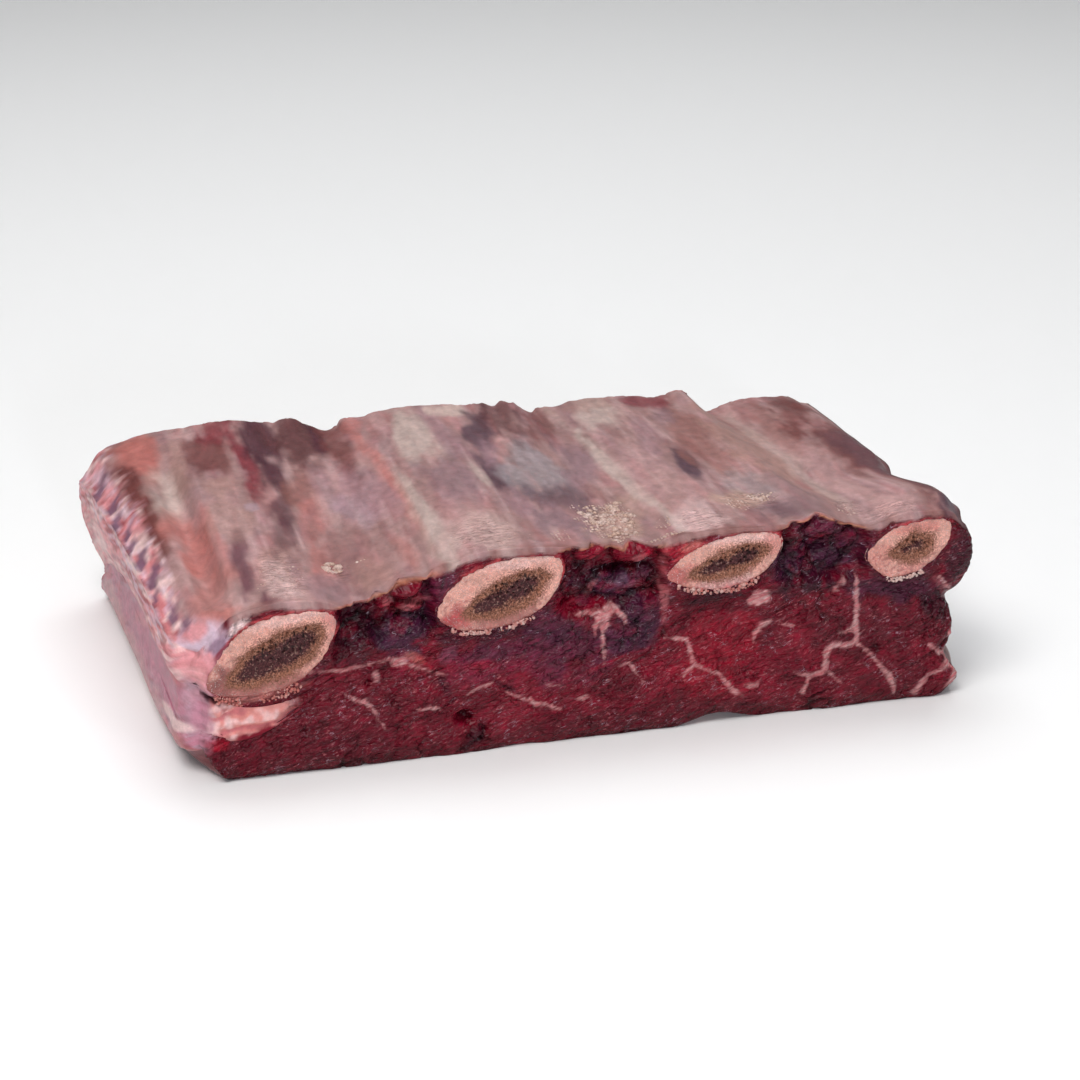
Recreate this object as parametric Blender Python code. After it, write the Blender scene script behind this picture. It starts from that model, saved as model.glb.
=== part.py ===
"""Raw beef short ribs: a rack of four ribs, cut square, lying with its rib side up.

Lengths are in millimetres until a mesh is made. The drawing frame has its zero at the lower
left corner of the front cut face: S runs across the ribs on that face, Y runs along the ribs
to the back cut face, and Z is up. Every piece follows the same three functions: across() for
the way the ribs fan out, lift() for the way the rack thins to the back, and top() for the
membrane over the ribs. From below, the rack is a slab of lean, a wedge of fat at the left,
and the rib layer, with four flat bones right through it.
"""

import math

import bmesh
import bpy
import numpy as np

MM = 0.001

# The block
BLOCK_DEPTH = 168.0
LEFT_EDGE = -8.0
RIGHT_EDGE = 247.0
FOOTPRINT_CENTRE = (121.7, 84.0)
PIECE_GAP = 0.3

# Upper edge of the front cut face, from left to right
FRONT_TOP = (
    (-8, 42.3), (-3, 46.3), (1, 49.8), (6, 53.6), (13, 56.0), (26, 56.8), (36, 55.7), (43, 54.1),
    (55, 55.8), (68, 60.5), (77, 64.1), (87, 66.2), (100, 66.2), (112, 65.1), (123, 64.6),
    (134, 63.2), (144, 63.4), (155, 65.7), (170, 66.0), (184, 65.0), (198, 65.7), (205, 63.4),
    (212, 62.0), (222, 64.0), (233, 64.4), (241, 63.2), (247, 58.3))

# How much higher the ribs lie halfway along, and at the back
LIFT_MIDDLE = (
    (-8, 6.5), (-2, 7.0), (14, 3.5), (34, 3.0), (62, 0.0), (98, -3.0), (170, -4.6), (247, -5.5))
LIFT_BACK = (
    (-8, 2.5), (-3, 7.0), (4, 5.0), (14, 2.6), (34, 3.8), (48, 3.6), (62, -1.5), (78, -6.2),
    (98, -7.4), (112, -7.1), (133, -7.2), (156, -10.2), (184, -10.0), (215, -13.2), (242, -14.2),
    (247, -11.5))

# How far to the right the ribs have moved at the back
FAN_BACK = (
    (-8, 0.0), (12, 8.0), (40, 8.0), (84, 14.0), (112, 14.0), (155, 9.0), (190, 7.0), (247, 9.5))

# Seam between the rib layer and what lies under it, on the front cut face
FRONT_SEAM = (
    (-8, 31.3), (-1, 30.3), (6, 26.3), (16, 24.8), (27, 26.3), (38, 31.3), (48, 36.6), (60, 39.1),
    (76, 37.6), (95, 38.3), (125, 39.3), (145, 41.8), (165, 43.0), (190, 43.3), (208, 42.0),
    (222, 40.0), (247, 34.3))

# The left end of the seam sinks towards the back
LEFT_SAG = 19.0
LEFT_SAG_REACH = 24.0
SEAM_LIFT_REACH = 16.0

# Trough between the left border and the first rib, and the depths where it starts and ends
TROUGH_AT = 6.5
TROUGH_HALF_WIDTH = 6.0
TROUGH_DEPTH = 6.0
TROUGH_START = (4.0, 34.0)
TROUGH_END = (110.0, 160.0)

# Steps in the membrane near the back, to the right of three ribs: place and height
BACK_STEPS = ((56.5, 3.2), (133.0, 3.0), (203.0, 5.4))
STEP_REACH = 46.0
STEP_OFFSET = 5.0
STEP_RISE_WIDTH = 7.0
STEP_FALL_WIDTH = 8.0

# Wedge of fat under the first rib: thickness across the front, and what is left of it at the back
WEDGE_THICKNESS = ((-8, 15.0), (4, 12.5), (14, 9.8), (28, 4.6), (38, 0.8))
WEDGE_BACK_SHARE = 0.17
WEDGE_THINS_OVER = 134.0
WEDGE_RIGHT = 38.0

# Sides: how far the side stands to the right of its edge line, from the bottom of a layer to its top
LEFT_LEAN_SIDE = ((0.0, 3.2), (0.15, 0.9), (0.45, -0.6), (0.8, 0.0), (1.0, 0.8))
LEFT_WEDGE_SIDE = ((0.0, 0.8), (1.0, 0.8))
LEFT_BAND_SIDE = ((0.0, 0.8), (0.25, -0.8), (0.55, -1.9), (0.8, -1.3), (1.0, -0.2))
LEFT_BAND_LEAN = -6.2
RIGHT_LEAN_SIDE = ((0.0, -5.5), (0.17, -1.2), (0.42, -5.8), (0.6, -4.0), (0.85, -4.4), (1.0, -6.6))
RIGHT_WEDGE_SIDE = ((0.0, 0.0), (1.0, 0.0))
RIGHT_BAND_SIDE = ((0.0, -6.6), (0.25, -1.4), (0.5, 1.2), (0.8, 1.0), (1.0, -0.6))
SIDE_FADE = 26.0
LEFT_CORNER = 6.0
LEFT_CORNER_REACH = 16.0
# Bulge and hollow of the right side, which the last rib follows: size, depth into the rack, half length
RIGHT_BULGE = (4.4, 24.0, 22.0)
RIGHT_HOLLOW = (4.6, 54.0, 27.0)
RIGHT_BEND_FROM = 180.0

# Cut faces: the meat between the bones lies back, and the lean bulges and waves a little
FACE_FADE = 22.0
GAP_RECESS = 3.8
GAP_RECESS_WIDTH = 0.62
GAP_RECESS_LEAST = 0.45
LEAN_CROWN = 1.0
LEAN_CROWN_LIFT = 0.15
LEAN_WAVE = 0.6
LEAN_WAVE_LENGTHS = (9.0, 23.0)
LEAN_WAVE_TILT = 3.0
FACE_EDGE_ROUND = 1.6
BOTTOM_ROUND_SHARE = 0.16
LEFT_END_ROUND = 4.8
LEFT_END_REACH = 9.0
RIGHT_END_REACH = 8.0

# Underside
NOTCH_AT = 163.0
NOTCH_HALF_WIDTH = 16.0
NOTCH_LIFT = 3.2
NOTCH_REACH = 34.0
LEFT_BEVEL = 9.5
LEFT_BEVEL_WIDTH = 13.0
LEFT_BEVEL_REACH = 75.0

# Bone ends on the front cut face, clockwise from the low left tip
BONE_OUTLINES = (
    ((0.6, 32.3), (3.6, 42.3), (12.2, 51.1), (25.5, 54.2), (37.5, 53.2), (40.4, 47.8), (35.0, 36.8),
     (25.0, 29.8), (10.0, 28.0)),
    ((71.2, 47.4), (76.0, 57.0), (86.5, 62.8), (100.0, 64.5), (110.2, 62.8), (111.4, 56.3),
     (105.6, 47.0), (94.4, 41.8), (80.0, 41.4)),
    ((144.6, 53.0), (152.4, 60.1), (165.0, 64.2), (179.5, 63.8), (183.0, 58.8), (177.5, 50.2),
     (166.0, 46.2), (152.5, 47.4)),
    ((211.6, 51.8), (217.5, 59.2), (228.6, 62.4), (239.0, 61.7), (240.8, 56.8), (236.5, 49.6),
     (228.5, 44.2), (218.5, 44.0)))
# Spongy cores in those bones
MARROW_OUTLINES = (
    ((6.0, 33.8), (12.5, 42.3), (22.0, 47.4), (33.0, 49.6), (36.4, 46.4), (31.0, 37.8), (22.0, 33.0),
     (12.0, 31.4)),
    ((80.0, 47.0), (86.0, 54.0), (95.0, 58.4), (104.0, 59.4), (106.6, 55.8), (101.0, 49.2),
     (90.0, 45.4)),
    ((152.5, 52.2), (160.0, 57.4), (170.0, 60.2), (177.6, 59.0), (176.6, 55.2), (168.0, 51.0),
     (158.0, 50.0)),
    ((220.2, 51.4), (223.6, 56.0), (229.0, 58.0), (234.0, 56.4), (233.0, 52.0), (227.5, 49.0)))
BONE_SIDES = 24
MARROW_SIDES = 16
BONE_DEPTHS = (0.0, 24.0, 54.0, 84.0, 112.0, 140.0, 168.0)
CUTTER_OVERRUN = 6.0
SHARP_ANGLE = math.radians(40.0)

# Lattice lines: places across and along the rack, and shares of a layer's height
CROSS_LINES = (
    -8.0, -5.5, -2.5, 1.0, 4.5, 8.0, 12.0, 17.0, 23.0, 30.0, 38.0, 44.0, 50.0, 56.0, 63.0, 70.0, 78.0,
    86.0, 94.0, 102.0, 110.0, 118.0, 125.0, 132.0, 139.0, 146.0, 154.0, 162.0, 170.0, 178.0, 186.0,
    193.0, 199.0, 205.0, 212.0, 219.0, 226.0, 233.0, 239.0, 243.5, 247.0)
DEPTH_LINES = (
    0.0, 2.5, 8.0, 18.0, 32.0, 50.0, 68.0, 86.0, 104.0, 121.0, 136.0, 149.0, 159.0, 165.5, 168.0)
LEAN_LEVELS = (0.0, 0.08, 0.2, 0.42, 0.65, 0.86, 1.0)
RIB_LEVELS = (0.0, 0.2, 0.45, 0.72, 1.0)
WEDGE_LEVELS = (0.0, 0.4, 1.0)

COLOURS = {
    "lean": (0.165, 0.012, 0.022),
    "rib_meat": (0.28, 0.11, 0.115),
    "fat": (0.62, 0.30, 0.24),
    "bone": (0.66, 0.42, 0.31),
    "marrow": (0.22, 0.13, 0.08),
}


def smooth(value):
    """Eases from 0 to 1 as the value goes from 0 to 1."""
    value = min(max(value, 0.0), 1.0)
    return value * value * (3.0 - 2.0 * value)


def smooth_between(value, start, end):
    """Eases from 0 at the start to 1 at the end."""
    return smooth((value - start) / (end - start))


def fade(distance, reach):
    """1 at no distance, easing to 0 at the reach."""
    share = max(0.0, 1.0 - distance / reach)
    return share * share


def hump(value, middle, half_width):
    """A round hump of height 1 at the middle, 0 beyond the half width."""
    share = abs(value - middle) / half_width
    return 0.5 * (1.0 + math.cos(math.pi * share)) if share < 1.0 else 0.0


def along(knots, value):
    """Height of a smooth curve through the knots, level beyond its ends."""
    places = [knot[0] for knot in knots]
    heights = [knot[1] for knot in knots]
    if value <= places[0]:
        return heights[0]
    if value >= places[-1]:
        return heights[-1]
    right = next(i for i, place in enumerate(places) if place > value)
    left = right - 1
    span = places[right] - places[left]

    def slope(i):
        if i == 0 or i == len(places) - 1:
            return 0.0
        return (heights[i + 1] - heights[i - 1]) / (places[i + 1] - places[i - 1])

    share = (value - places[left]) / span
    share2 = share * share
    share3 = share2 * share
    return ((2 * share3 - 3 * share2 + 1) * heights[left]
            + (share3 - 2 * share2 + share) * span * slope(left)
            + (-2 * share3 + 3 * share2) * heights[right]
            + (share3 - share2) * span * slope(right))


def lift(s, y):
    """How much higher the rack lies at this depth than at the front."""
    share = y / BLOCK_DEPTH
    middle = along(LIFT_MIDDLE, s)
    back = along(LIFT_BACK, s)
    return 4.0 * share * (1.0 - share) * middle + share * (2.0 * share - 1.0) * back


def across(s, y):
    """Where a line that starts at s on the front face has moved to at this depth."""
    bulge, bulge_at, bulge_half_length = RIGHT_BULGE
    hollow, hollow_at, hollow_half_length = RIGHT_HOLLOW
    bend = bulge * hump(y, bulge_at, bulge_half_length) - hollow * hump(y, hollow_at, hollow_half_length)
    fan = along(FAN_BACK, s) * y / BLOCK_DEPTH
    return s + fan + bend * smooth_between(s, RIGHT_BEND_FROM, RIGHT_EDGE)


def top(s, y):
    """The membrane over the ribs."""
    height = along(FRONT_TOP, s) + lift(s, y)
    trough = smooth_between(y, *TROUGH_START) * (1.0 - smooth_between(y, *TROUGH_END))
    height -= TROUGH_DEPTH * trough * hump(s, TROUGH_AT, TROUGH_HALF_WIDTH)
    near_back = smooth(1.0 - (BLOCK_DEPTH - y) / STEP_REACH)
    for place, step in BACK_STEPS:
        rise = hump(s, place - STEP_OFFSET, STEP_RISE_WIDTH)
        fall = hump(s, place + STEP_OFFSET, STEP_FALL_WIDTH)
        height += near_back * step * 0.5 * (rise - fall)
    return height


def seam(s, y):
    """The underside of the rib layer."""
    share = y / BLOCK_DEPTH
    sag = LEFT_SAG * share ** 3 * fade(s - LEFT_EDGE, LEFT_SAG_REACH)
    return along(FRONT_SEAM, s) + lift(s, y) * smooth((s - LEFT_EDGE) / SEAM_LIFT_REACH) - sag


def wedge_thickness(s, y):
    """The fat under the first rib thins away to a sheet towards the back."""
    share = smooth(y / WEDGE_THINS_OVER)
    return along(WEDGE_THICKNESS, s) * (1.0 + (WEDGE_BACK_SHARE - 1.0) * share)


def bottom(s, y):
    """The underside: flat, with a bevel at the front left and a notch in the front edge."""
    bevel = fade(s - LEFT_EDGE, LEFT_BEVEL_WIDTH) * fade(y, LEFT_BEVEL_REACH)
    notch = hump(s, NOTCH_AT, NOTCH_HALF_WIDTH) * fade(y, NOTCH_REACH)
    return LEFT_BEVEL * bevel + NOTCH_LIFT * notch


def lean_top(s, y):
    """The upper side of the lean, under the wedge of fat at the left and the ribs elsewhere."""
    if s <= WEDGE_RIGHT:
        return seam(s, y) - wedge_thickness(s, y) - 2.0 * PIECE_GAP
    return seam(s, y) - PIECE_GAP


def left_edge(y, share, profile, lean_out):
    """The left side draws in at the front corner, and its upper band leans out at the back."""
    corner = LEFT_CORNER * fade(y, LEFT_CORNER_REACH)
    return along(profile, share) + corner + lean_out * share * y / BLOCK_DEPTH


def face_relief(s, height_share, is_rib_layer):
    """How far a cut face lies behind its flat plane."""
    relief = 0.0
    if is_rib_layer:
        for left, right in zip(BONE_OUTLINES, BONE_OUTLINES[1:]):
            gap_left = max(point[0] for point in left)
            gap_right = min(point[0] for point in right)
            middle = 0.5 * (gap_left + gap_right)
            shape = hump(s, middle, GAP_RECESS_WIDTH * (gap_right - gap_left))
            middle_share = hump(height_share, 0.5, 0.6)
            relief += GAP_RECESS * shape * (GAP_RECESS_LEAST + (1.0 - GAP_RECESS_LEAST) * middle_share)
    else:
        short, long = LEAN_WAVE_LENGTHS
        wave = math.sin(s / short + LEAN_WAVE_TILT * height_share) * math.sin(s / long)
        crown = math.sin(math.pi * min(1.0, height_share + LEAN_CROWN_LIFT))
        relief += LEAN_WAVE * (1.0 + wave) + LEAN_CROWN * (1.0 - crown)
        relief += FACE_EDGE_ROUND * fade(height_share, BOTTOM_ROUND_SHARE)
    relief += LEFT_END_ROUND * fade(s - LEFT_EDGE, LEFT_END_REACH)
    relief += FACE_EDGE_ROUND * fade(RIGHT_EDGE - s, RIGHT_END_REACH)
    return relief


def place(s, y, low, high, share, left_side, right_side, lean_out, is_rib_layer):
    """Puts a lattice point of a layer where it lies in the rack, in the drawing frame."""
    z = low + (high - low) * share
    x = across(s, y)
    x += left_edge(y, share, left_side, lean_out) * fade(s - LEFT_EDGE, SIDE_FADE)
    x += along(right_side, share) * fade(RIGHT_EDGE - s, SIDE_FADE)
    relief = face_relief(s, share, is_rib_layer)
    depth = y + relief * fade(y, FACE_FADE) - relief * fade(BLOCK_DEPTH - y, FACE_FADE)
    return x, depth, z


def to_metres(point):
    """From the drawing frame to metres about the middle of the footprint."""
    x, y, z = point
    return ((x - FOOTPRINT_CENTRE[0]) * MM, (y - FOOTPRINT_CENTRE[1]) * MM, z * MM)


def material(name, colour, roughness):
    made = bpy.data.materials.new(name)
    made.use_nodes = True
    shader = made.node_tree.nodes["Principled BSDF"]
    shader.inputs["Base Color"].default_value = (*colour, 1.0)
    shader.inputs["Roughness"].default_value = roughness
    shader.inputs["Metallic"].default_value = 0.0
    return made


def object_from(mesh_builder, name, collection, look=None):
    mesh = bpy.data.meshes.new(name)
    if mesh_builder.calc_volume(signed=True) < 0.0:
        bmesh.ops.reverse_faces(mesh_builder, faces=mesh_builder.faces[:])
    mesh_builder.to_mesh(mesh)
    mesh_builder.free()
    mesh.shade_smooth()
    mesh.set_sharp_from_angle(angle=SHARP_ANGLE)
    made = bpy.data.objects.new(name, mesh)
    collection.objects.link(made)
    if look:
        mesh.materials.append(look)
    return made


def divided_block(columns, rows, levels):
    """A unit cube cut into a lattice of equal steps."""
    block = bmesh.new()
    bmesh.ops.create_cube(block, size=1.0)
    for axis, steps in enumerate((columns, rows, levels)):
        ends = [(edge, edge.verts[0].co - edge.verts[1].co) for edge in block.edges]
        edges = [edge for edge, run in ends if abs(run[axis]) > 0.5]
        bmesh.ops.subdivide_edges(block, edges=edges, cuts=steps - 1)
    return block


def layer(name, collection, look, level_shares, right_end, low, high, sides, is_rib_layer):
    """A slab of the rack between two height functions, from its left side to its right end."""
    lines = [s for s in CROSS_LINES if s <= right_end]
    block = divided_block(len(lines) - 1, len(DEPTH_LINES) - 1, len(level_shares) - 1)
    for vertex in block.verts:
        column, row, level = (round((share + 0.5) * (len(steps) - 1))
                              for share, steps in zip(vertex.co, (lines, DEPTH_LINES, level_shares)))
        s = lines[column]
        y = DEPTH_LINES[row]
        point = place(s, y, low(s, y), high(s, y), level_shares[level], *sides, is_rib_layer)
        vertex.co = to_metres(point)
    bmesh.ops.triangulate(block, faces=block.faces[:], quad_method="SHORT_EDGE")
    return object_from(block, name, collection, look)


def outline_point(outline, share):
    """A point on the smooth closed curve through an outline's points."""
    count = len(outline)
    position = share * count
    first = int(position) % count
    part = position - int(position)
    before, start, end, after = (np.array(outline[(first + k) % count]) for k in (-1, 0, 1, 2))
    return 0.5 * (2.0 * start + (end - before) * part
                  + (2.0 * before - 5.0 * start + 4.0 * end - after) * part ** 2
                  + (3.0 * start - before - 3.0 * end + after) * part ** 3)


def grown(points, distance):
    """The outline moved outwards by the distance, or inwards if it is negative."""
    moved = []
    count = len(points)
    for i in range(count):
        run = points[(i + 1) % count] - points[i - 1]
        outwards = np.array((-run[1], run[0])) / np.hypot(*run)
        moved.append(points[i] + outwards * distance)
    return moved


def rod(name, collection, look, outline, sides, growth, depths):
    """A flat rod with the given outline, which follows its rib through the rack."""
    points = grown([outline_point(outline, i / sides) for i in range(sides)], growth)
    middle = sum(point[0] for point in points) / sides
    body = bmesh.new()
    bmesh.ops.create_cone(body, cap_ends=True, segments=sides, radius1=1.0, radius2=1.0, depth=1.0)
    lengthwise = [edge for edge in body.edges if abs(edge.verts[0].co.z - edge.verts[1].co.z) > 0.5]
    bmesh.ops.subdivide_edges(body, edges=lengthwise, cuts=len(depths) - 2)
    for vertex in body.verts:
        turn = math.atan2(vertex.co.y, vertex.co.x) / (2.0 * math.pi)
        s, z = points[round(turn * sides) % sides]
        y = depths[round((vertex.co.z + 0.5) * (len(depths) - 1))]
        moved = across(middle, y) - middle
        vertex.co = to_metres((s + moved, y, z + lift(middle, y)))
    return object_from(body, name, collection, look)


def cut(piece, cutter):
    """Takes the cutter's shape out of the piece."""
    cutter.hide_render = True
    cutter.display_type = "WIRE"
    boolean = piece.modifiers.new("cut for " + cutter.name, "BOOLEAN")
    boolean.operation = "DIFFERENCE"
    boolean.solver = "EXACT"
    boolean.object = cutter


def make_layers(collection):
    lean = material("lean meat", COLOURS["lean"], 0.42)
    fat = material("pale fat", COLOURS["fat"], 0.45)
    rib_meat = material("rib meat and membrane", COLOURS["rib_meat"], 0.38)
    layer("lean_muscle", collection, lean, LEAN_LEVELS, RIGHT_EDGE, bottom, lean_top,
          (LEFT_LEAN_SIDE, RIGHT_LEAN_SIDE, 0.0), False)
    layer("fat_wedge", collection, fat, WEDGE_LEVELS, WEDGE_RIGHT,
          lambda s, y: seam(s, y) - wedge_thickness(s, y) - PIECE_GAP,
          lambda s, y: seam(s, y) - PIECE_GAP,
          (LEFT_WEDGE_SIDE, RIGHT_WEDGE_SIDE, 0.0), True)
    return layer("rib_layer", collection, rib_meat, RIB_LEVELS, RIGHT_EDGE, seam, top,
                 (LEFT_BAND_SIDE, RIGHT_BAND_SIDE, LEFT_BAND_LEAN), True)


def make_bones(collection, cutters, rib_layer):
    bone = material("cut bone", COLOURS["bone"], 0.55)
    marrow = material("spongy bone core", COLOURS["marrow"], 0.7)
    past_both_ends = (-CUTTER_OVERRUN, *BONE_DEPTHS, BLOCK_DEPTH + CUTTER_OVERRUN)
    inside_both_ends = (PIECE_GAP, *BONE_DEPTHS[1:-1], BLOCK_DEPTH - PIECE_GAP)
    pairs = zip(BONE_OUTLINES, MARROW_OUTLINES)
    for number, (bone_outline, marrow_outline) in enumerate(pairs, start=1):
        tunnel = rod(f"tunnel_{number}", cutters, None, bone_outline, BONE_SIDES,
                     PIECE_GAP, past_both_ends)
        cut(rib_layer, tunnel)
        shell = rod(f"rib_bone_{number}", collection, bone, bone_outline, BONE_SIDES, 0.0, BONE_DEPTHS)
        core_space = rod(f"core_space_{number}", cutters, None, marrow_outline, MARROW_SIDES,
                         PIECE_GAP, past_both_ends)
        cut(shell, core_space)
        rod(f"rib_marrow_{number}", collection, marrow, marrow_outline, MARROW_SIDES,
            0.0, inside_both_ends)


def main():
    for old in list(bpy.data.objects):
        bpy.data.objects.remove(old, do_unlink=True)
    collection = bpy.data.collections.new("raw beef short ribs")
    cutters = bpy.data.collections.new("cutters")
    for made in (collection, cutters):
        bpy.context.scene.collection.children.link(made)
    rib_layer = make_layers(collection)
    make_bones(collection, cutters, rib_layer)


main()
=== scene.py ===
"""Looks of the raw beef short ribs: cut faces, membrane, fat, sawn bone ends and crumbs.

Lengths are in millimetres in the drawing frame of the model until a mesh is made: S runs across
the ribs on the front cut face, Y along the ribs to the back cut face, and Z is up. The first part
repeats the form of the solids, so that each finer piece lies where its solid is.
"""

import functools
import itertools
import math

import bmesh
import bpy
import numpy as np
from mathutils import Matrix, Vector
from mathutils.kdtree import KDTree


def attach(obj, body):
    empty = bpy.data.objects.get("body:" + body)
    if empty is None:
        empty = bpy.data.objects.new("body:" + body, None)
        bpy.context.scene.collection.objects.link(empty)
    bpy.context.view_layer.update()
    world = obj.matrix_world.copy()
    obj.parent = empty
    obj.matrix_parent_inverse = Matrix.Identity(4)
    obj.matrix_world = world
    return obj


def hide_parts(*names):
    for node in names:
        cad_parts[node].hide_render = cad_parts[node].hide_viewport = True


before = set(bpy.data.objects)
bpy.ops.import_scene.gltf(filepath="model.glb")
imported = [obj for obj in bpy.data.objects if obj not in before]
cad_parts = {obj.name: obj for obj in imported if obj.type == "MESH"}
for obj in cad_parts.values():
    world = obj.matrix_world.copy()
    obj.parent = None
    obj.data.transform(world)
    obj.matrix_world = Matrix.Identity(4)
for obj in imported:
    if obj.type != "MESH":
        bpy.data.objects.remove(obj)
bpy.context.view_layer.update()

MM = 0.001

# The block, as in the model
BLOCK_DEPTH = 168.0
LEFT_EDGE = -8.0
RIGHT_EDGE = 247.0
FOOTPRINT_CENTRE = (121.7, 84.0)
FRONT_TOP = (
    (-8, 42.3), (-3, 46.3), (1, 49.8), (6, 53.6), (13, 56.0), (26, 56.8), (36, 55.7), (43, 54.1),
    (55, 55.8), (68, 60.5), (77, 64.1), (87, 66.2), (100, 66.2), (112, 65.1), (123, 64.6),
    (134, 63.2), (144, 63.4), (155, 65.7), (170, 66.0), (184, 65.0), (198, 65.7), (205, 63.4),
    (212, 62.0), (222, 64.0), (233, 64.4), (241, 63.2), (247, 58.3))
LIFT_MIDDLE = (
    (-8, 6.5), (-2, 7.0), (14, 3.5), (34, 3.0), (62, 0.0), (98, -3.0), (170, -4.6), (247, -5.5))
LIFT_BACK = (
    (-8, 2.5), (-3, 7.0), (4, 5.0), (14, 2.6), (34, 3.8), (48, 3.6), (62, -1.5), (78, -6.2),
    (98, -7.4), (112, -7.1), (133, -7.2), (156, -10.2), (184, -10.0), (215, -13.2), (242, -14.2),
    (247, -11.5))
FAN_BACK = (
    (-8, 0.0), (12, 8.0), (40, 8.0), (84, 14.0), (112, 14.0), (155, 9.0), (190, 7.0), (247, 9.5))
FRONT_SEAM = (
    (-8, 31.3), (-1, 30.3), (6, 26.3), (16, 24.8), (27, 26.3), (38, 31.3), (48, 36.6), (60, 39.1),
    (76, 37.6), (95, 38.3), (125, 39.3), (145, 41.8), (165, 43.0), (190, 43.3), (208, 42.0),
    (222, 40.0), (247, 34.3))
LEFT_SAG = 19.0
LEFT_SAG_REACH = 24.0
SEAM_LIFT_REACH = 16.0
TROUGH_AT = 6.5
TROUGH_HALF_WIDTH = 6.0
TROUGH_DEPTH = 6.0
TROUGH_START = (4.0, 34.0)
TROUGH_END = (110.0, 160.0)
BACK_STEPS = ((56.5, 3.2), (133.0, 3.0), (203.0, 5.4))
STEP_REACH = 46.0
STEP_OFFSET = 5.0
STEP_RISE_WIDTH = 7.0
STEP_FALL_WIDTH = 8.0
WEDGE_THICKNESS = ((-8, 15.0), (4, 12.5), (14, 9.8), (28, 4.6), (38, 0.8))
WEDGE_BACK_SHARE = 0.17
WEDGE_THINS_OVER = 134.0
WEDGE_RIGHT = 38.0
LEFT_LEAN_SIDE = ((0.0, 3.2), (0.15, 0.9), (0.45, -0.6), (0.8, 0.0), (1.0, 0.8))
LEFT_WEDGE_SIDE = ((0.0, 0.8), (1.0, 0.8))
LEFT_BAND_SIDE = ((0.0, 0.8), (0.25, -0.8), (0.55, -1.9), (0.8, -1.3), (1.0, -0.2))
LEFT_BAND_LEAN = -6.2
RIGHT_LEAN_SIDE = ((0.0, -5.5), (0.17, -1.2), (0.42, -5.8), (0.6, -4.0), (0.85, -4.4), (1.0, -6.6))
RIGHT_WEDGE_SIDE = ((0.0, 0.0), (1.0, 0.0))
RIGHT_BAND_SIDE = ((0.0, -6.6), (0.25, -1.4), (0.5, 1.2), (0.8, 1.0), (1.0, -0.6))
SIDE_FADE = 26.0
LEFT_CORNER = 6.0
LEFT_CORNER_REACH = 16.0
RIGHT_BULGE = (4.4, 24.0, 22.0)
RIGHT_HOLLOW = (4.6, 54.0, 27.0)
RIGHT_BEND_FROM = 180.0
FACE_FADE = 22.0
GAP_RECESS = 3.8
GAP_RECESS_WIDTH = 0.62
GAP_RECESS_LEAST = 0.45
LEAN_CROWN = 1.0
LEAN_CROWN_LIFT = 0.15
LEAN_WAVE = 0.6
LEAN_WAVE_LENGTHS = (9.0, 23.0)
LEAN_WAVE_TILT = 3.0
FACE_EDGE_ROUND = 1.6
BOTTOM_ROUND_SHARE = 0.16
LEFT_END_ROUND = 4.8
LEFT_END_REACH = 9.0
RIGHT_END_REACH = 8.0
NOTCH_AT = 163.0
NOTCH_HALF_WIDTH = 16.0
NOTCH_LIFT = 3.2
NOTCH_REACH = 34.0
LEFT_BEVEL = 9.5
LEFT_BEVEL_WIDTH = 13.0
LEFT_BEVEL_REACH = 75.0
BONE_OUTLINES = (
    ((-0.7, 32.0), (3.6, 42.3), (12.2, 51.1), (25.5, 54.2), (37.5, 53.2), (40.4, 47.8), (35.0, 36.8),
     (25.0, 29.8), (10.0, 28.0)),
    ((71.2, 47.4), (76.0, 57.0), (86.5, 62.8), (100.0, 64.5), (110.2, 62.8), (111.4, 56.3),
     (105.6, 47.0), (94.4, 41.8), (80.0, 41.4)),
    ((144.6, 53.0), (152.4, 60.1), (165.0, 64.2), (179.5, 63.8), (183.0, 58.8), (177.5, 50.2),
     (166.0, 46.2), (152.5, 47.4)),
    ((211.6, 51.8), (217.5, 59.2), (228.6, 62.4), (239.0, 61.7), (240.8, 56.8), (236.5, 49.6),
     (228.5, 44.2), (218.5, 44.0)))
MARROW_OUTLINES = (
    ((6.0, 33.8), (12.5, 42.3), (22.0, 47.4), (33.0, 49.6), (36.4, 46.4), (31.0, 37.8), (22.0, 33.0),
     (12.0, 31.4)),
    ((80.0, 47.0), (86.0, 54.0), (95.0, 58.4), (104.0, 59.4), (106.6, 55.8), (101.0, 49.2),
     (90.0, 45.4)),
    ((152.5, 52.2), (160.0, 57.4), (170.0, 60.2), (177.6, 59.0), (176.6, 55.2), (168.0, 51.0),
     (158.0, 50.0)),
    ((220.2, 51.4), (223.6, 56.0), (229.0, 58.0), (234.0, 56.4), (233.0, 52.0), (227.5, 49.0)))
BONE_GAPS = tuple((max(s for s, z in left), min(s for s, z in right))
                  for left, right in zip(BONE_OUTLINES, BONE_OUTLINES[1:]))

# Fineness of the meshes; the columns divide by 8
COLUMNS = 424
WEDGE_COLUMNS = 80
LEAN_LEVELS = 62
RIB_LEVELS = 42
WEDGE_LEVELS = 24
TOP_DEPTH_STEP = 1.05
SIDE_DEPTH_STEP = 1.7
FIRST_DEPTH_STEP = 0.35
DEPTH_STEP_GROWTH = 1.35
FINE_OUTLINE = 400
BONE_GAP_SIDES = 48
BONE_NEAR = 28.0
BONE_SECTORS = 176
CORE_LOOPS = 28
RING_LOOPS = 12
BONE_ROWS = (
    0.5, 1.2, 2.4, 5.0, 12.0, 24.0, 54.0, 84.0, 112.0, 140.0, 156.0, 163.0, 165.6, 166.8, 167.5)
OVERLAP = 0.5
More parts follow.
